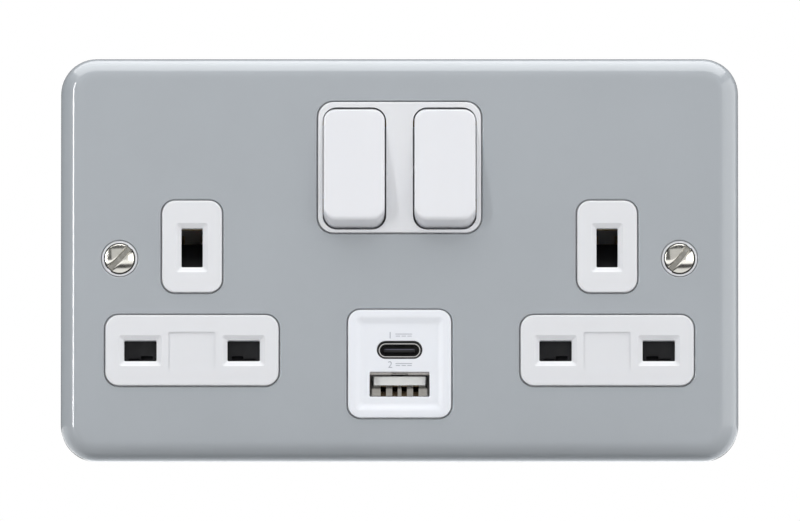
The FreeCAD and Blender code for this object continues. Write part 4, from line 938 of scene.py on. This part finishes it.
class WALLSOCKET_OT_usb_ports(bpy.types.Operator):
    """Makes the small port's shell, a black ring of painted shade round it, and the large port's top lip, and
    finishes the rest of the charger
    """

    bl_idname = "wallsocket.usb_ports"
    bl_label = "USB ports"

    def execute(self, context):
        low, high = box("usb_c_shell")
        front, back = low.y, high.y
        place = (0.0, (low.z + high.z) / 2)
        size, radius = C_RING
        shell = Shell()
        # a thin rounded lip that thickens inwards, closed at its rear
        swept(shell, place, size, radius, [
            (-0.35, back), (0.0, back), (0.0, front + 0.06), (-0.03, front), (-0.22, front), (-0.25, front + 0.06),
            (-0.35, front + 1.6), (-0.35, back)], 0.2, 12)
        shell.object(context, "usb_c_ring", "socket", "port_steel", replaces=["usb_c_shell"], finish="port_bright")
        # painted shade: a black ring fills the gap between the small port's shell and its cut-out, where there is
        # only shade
        face = BEZEL_LOW.y + context.scene.wall_socket_panel.sunk / MM
        shade_ring = Shell()
        swept(shade_ring, place, size, radius, [
            (0.02, front + 0.35), (0.02, front + 0.1), (0.3, front - 0.1), (0.3, face + 0.15), (0.36, face + 0.12),
            (0.41, face + 0.15), (0.41, front + 0.35), (0.02, front + 0.35)], 0.2, 12)
        shade_ring.object(context, "usb_c_painted_shade_ring", "socket", "port_black")
        self.lip(context)
        dress(context, "usb_a_insulator", "usb_a_contacts", "usb_circuit_board", "usb_transformer", "usb_capacitor",
              usb_a_shell="port_shade", usb_c_insulator="port_tongue")
        return {"FINISHED"}

    def lip(self, context):
        """The large port's upper lip: two plates with a tab between them, each a rounded panel."""
        low, high = box("usb_a_shell")
        front, middle = low.y, high.z - 0.42
        edge = [(-0.3, front - 0.12), (-0.05, front - 0.12), (0.0, front - 0.07), (0.0, front + 0.02),
                (-0.3, front + 0.02)]
        shell = Shell()
        for x, rise, width, height in ((-3.97, 0.0, 4.5, 0.62), (3.97, 0.0, 4.5, 0.62), (0.0, 0.05, 3.1, 0.5)):
            pierced(shell, ((x, middle + rise), (width, height), 0.06), edge, (), 3)
        shell.object(context, "usb_a_lip", "socket", "port_steel", finish="port_shade")


class WALLSOCKET_OT_usb_marks(bpy.types.Operator):
    """Prints a port number and the direct-current sign over each port: a line above three dashes"""

    bl_idname = "wallsocket.usb_marks"
    bl_label = "Port marks"

    def execute(self, context):
        floor = BEZEL_LOW.y + context.scene.wall_socket_panel.sunk / MM
        ink = 0.02
        shell = Shell()
        edge = [(-0.05, floor - ink), (0.0, floor - ink), (0.0, floor + ink), (-0.05, floor + ink)]
        low, high = box("usb_c_shell")
        for digit, z in (("1", high.z + 1.55), ("2", low.z - 1.5)):
            for x, rise, width in ((0.9, 0.22, 3.6), (-0.34, -0.22, 0.95), (0.9, -0.22, 0.95), (2.14, -0.22, 0.95)):
                pierced(shell, ((x, z + rise), (width, 0.16), 0.05), edge, (), 2)
            shell.add(*self.digit(context, digit, -2.55, z - 0.72, floor, ink))
        shell.object(context, "usb_marks", "socket", "white_usb", finish="port_ink")
        return {"FINISHED"}

    def digit(self, context, text, x, z, floor, ink):
        """A digit's mesh, thickened both ways, stood upright on the panel's face."""
        curve = bpy.data.curves.new("digit", "FONT")
        curve.body, curve.size, curve.extrude, curve.resolution_u = text, 2.05, ink, 6
        holder = linked(context, "digit", curve)
        mesh = bpy.data.meshes.new_from_object(holder)
        points = np.empty(len(mesh.vertices) * 3)
        mesh.vertices.foreach_get("co", points)
        points = points.reshape(-1, 3)
        work = bmesh.new()
        work.from_mesh(mesh)
        bmesh.ops.triangulate(work, faces=work.faces)
        faces = [[v.index for v in face.verts] for face in work.faces]
        work.free()
        bpy.data.objects.remove(holder)
        bpy.data.curves.remove(curve)
        bpy.data.meshes.remove(mesh)
        return np.stack([x + points[:, 0], floor - points[:, 2], z + points[:, 1]], -1), faces


# name, place, what it is turned to, width and height, brightness
LAMPS = (
    ("top", (0.0, -0.165, 0.8), (0.0, -0.165, 0.0), (1.6, 1.33), 2.62),
    ("left_strip", (-0.64, -0.64, 0.06), (0.0, 0.0, 0.02), (0.09, 0.7), 17.2),
    ("right", (0.8, -0.75, 0.0), (0.0, -0.75, 0.0), (2.3, 1.0), 1.6),
    ("front", (0.0, -2.22, 0.6), (0.0, 0.0, 0.0), (2.2, 1.5), 0.5),
)


class WALLSOCKET_OT_stage(bpy.types.Operator):
    """Makes the pale floor, the soft lights, the surround and the camera"""

    bl_idname = "wallsocket.stage"
    bl_label = "Stage"

    def execute(self, context):
        settings = context.scene.wall_socket_stage
        self.floor(context)
        self.surround(context, settings)
        for lamp in LAMPS:
            self.lamp(context, *lamp)
        self.camera(context, settings)
        return {"FINISHED"}

    def floor(self, context):
        """A wide floor just under the plate's lower edge: white to the eye and clear from underneath; other rays
        meet painted reflections and a painted glow in it.
        """
        turn = np.linspace(0, 2 * np.pi, 64, endpoint=False)
        rings = np.array([0.0, 1.0, 6.0])[:, None]
        z = CAD_BOUNDS[0][2] - 0.0003
        points = np.stack([rings * np.cos(turn), rings * np.sin(turn), 0 * rings + 0 * turn + z], -1)
        mesh = bpy.data.meshes.new("floor")
        mesh.from_pydata(points.reshape(-1, 3).tolist(), [], grid(3, 64, closed=True)[:, ::-1].tolist())
        material, tree, shader, place = base_material("floor", {"Roughness": 0.9})
        path, facing = node(tree, "LightPath"), node(tree, "NewGeometry")["Backfacing"]
        depth = node(tree, "SeparateXYZ", {0: place})["Y"]
        # painted reflection: to glossy rays only, the floor is near black in a band in front of the plate and glows
        # farther off, so shiny metal mirrors a dark band and a bright part
        gap = maths(tree, "MULTIPLY", spread(tree, depth, -0.09, -0.11), path["Is Glossy Ray"])
        far = maths(tree, "MULTIPLY", spread(tree, depth, -0.17, -0.24), path["Is Glossy Ray"])
        feed(tree, shader, {"Base Color": mixed(tree, gap, (0.5, 0.5, 0.5, 1.0), (0.01, 0.01, 0.01, 1.0))})
        away = node(tree, "Emission", {"Strength": far})[0]
        # painted glow: to rays other than the camera's, the floor gives off light under and behind the plate's
        # front, lighting the plate from below
        behind = mixed(tree, spread(tree, depth, -0.0072, -0.006), (0.0, 0.0, 0.0, 1.0), (0.95, 0.98, 1.0, 1.0))
        low = node(tree, "Emission", {"Color": behind, "Strength": 0.63})[0]
        seen = node(tree, "Emission", {"Color": (1.0, 1.0, 1.0, 1.0), "Strength": 0.84})[0]
        base = tree.nodes["Principled BSDF"].outputs[0]
        glow = node(tree, "AddShader", {0: low, 1: away})[0]
        lit, both = [node(tree, "AddShader", {0: base, 1: light})[0] for light in (glow, seen)]
        pick = node(tree, "MixShader", {0: path["Is Camera Ray"], 1: lit, 2: both})[0]
        sided = node(tree, "MixShader", {0: facing, 1: pick, 2: node(tree, "BsdfTransparent")[0]})[0]
        feed(tree, tree.nodes["Material Output"].inputs, {"Surface": sided})
        mesh.materials.append(material)
        linked(context, "floor", mesh)

    def surround(self, context, settings):
        """The room: white to the eye, a dim even grey to the object."""
        world = bpy.data.worlds.new("surround")
        context.scene.world = world
        world.use_nodes = True
        tree = world.node_tree
        dim = tree.nodes["Background"]
        feed(tree, dim.inputs, {"Color": (0.97, 0.985, 1.0, 1.0), "Strength": settings.surround})
        bright = node(tree, "Background", {"Color": (1.0, 1.0, 1.0, 1.0), "Strength": 1.0})[0]
        seen = node(tree, "LightPath")["Is Camera Ray"]
        pick = node(tree, "MixShader", {0: seen, 1: dim.outputs[0], 2: bright})[0]
        feed(tree, tree.nodes["World Output"].inputs, {"Surface": pick})

    def lamp(self, context, name, place, aim, size, radiance):
        """A soft box of one brightness: its power is pi times its area times its radiance."""
        data = bpy.data.lights.new(name, "AREA")
        data.shape = "RECTANGLE"
        data.size, data.size_y = size
        data.energy = math.pi * size[0] * size[1] * radiance
        lamp = linked(context, name, data)
        lamp.location = place
        lamp.rotation_euler = (Vector(aim) - Vector(place)).to_track_quat("-Z", "Y").to_euler()
        lamp.visible_camera = False

    def camera(self, context, settings):
        """Straight on, as far back as the settings say, with the picture as wide as the view."""
        data = bpy.data.cameras.new("camera")
        data.sensor_width = 36.0
        data.lens = data.sensor_width * settings.distance / settings.view_width
        data.clip_start = 0.01
        camera = linked(context, "camera", data)
        aim = Vector((settings.view_x, PLATE_LOW.y * MM, settings.view_z))
        camera.location = aim - settings.distance * Vector((0.0, math.cos(settings.below), math.sin(settings.below)))
        camera.rotation_euler = (math.pi / 2 + settings.below, 0.0, 0.0)
        context.scene.camera = camera
        context.scene.view_settings.view_transform = "Standard"
        context.scene.view_settings.look = "None"


class WALLSOCKET_PT_panel(bpy.types.Panel):
    """Lists the operators and the settings they read."""

    bl_idname = "WALLSOCKET_PT_panel"
    bl_label = "Wall Socket"
    bl_space_type = "VIEW_3D"
    bl_region_type = "UI"
    bl_category = "Wall Socket"

    def draw(self, context):
        for operator in OPERATORS:
            self.layout.operator(operator.bl_idname)
        for name in SETTINGS:
            settings = getattr(context.scene, name)
            section = self.layout.box()
            for key in settings.__annotations__:
                section.prop(settings, key)


OPERATORS = (
    WALLSOCKET_OT_front_plate,
    WALLSOCKET_OT_rockers,
    WALLSOCKET_OT_fixing_screws,
    WALLSOCKET_OT_mouldings,
    WALLSOCKET_OT_shutters,
    WALLSOCKET_OT_switch_gear,
    WALLSOCKET_OT_springs,
    WALLSOCKET_OT_brass_work,
    WALLSOCKET_OT_usb_panel,
    WALLSOCKET_OT_usb_ports,
    WALLSOCKET_OT_usb_marks,
    WALLSOCKET_OT_stage,
)
SETTINGS = {
    "wall_socket_plate": WALLSOCKET_PG_plate,
    "wall_socket_rocker": WALLSOCKET_PG_rocker,
    "wall_socket_screw": WALLSOCKET_PG_screw,
    "wall_socket_panel": WALLSOCKET_PG_panel_sizes,
    "wall_socket_stage": WALLSOCKET_PG_stage,
}


def register():
    """Registers the classes and the scene's settings."""
    for kind in SETTINGS.values():
        bpy.utils.register_class(kind)
    for kind in OPERATORS + (WALLSOCKET_PT_panel,):
        bpy.utils.register_class(kind)
    for name, kind in SETTINGS.items():
        setattr(bpy.types.Scene, name, PointerProperty(type=kind))


def unregister():
    """Takes back what register did."""
    for name in SETTINGS:
        delattr(bpy.types.Scene, name)
    for kind in reversed(OPERATORS + (WALLSOCKET_PT_panel,)):
        bpy.utils.unregister_class(kind)
    for kind in reversed(list(SETTINGS.values())):
        bpy.utils.unregister_class(kind)


def main():
    """Builds every piece in order."""
    register()
    bpy.ops.wallsocket.front_plate()
    bpy.ops.wallsocket.rockers()
    bpy.ops.wallsocket.fixing_screws()
    bpy.ops.wallsocket.mouldings()
    bpy.ops.wallsocket.shutters()
    bpy.ops.wallsocket.switch_gear()
    bpy.ops.wallsocket.springs()
    bpy.ops.wallsocket.brass_work()
    bpy.ops.wallsocket.usb_panel()
    bpy.ops.wallsocket.usb_ports()
    bpy.ops.wallsocket.usb_marks()
    bpy.ops.wallsocket.stage()


if __name__ == "__main__":
    main()
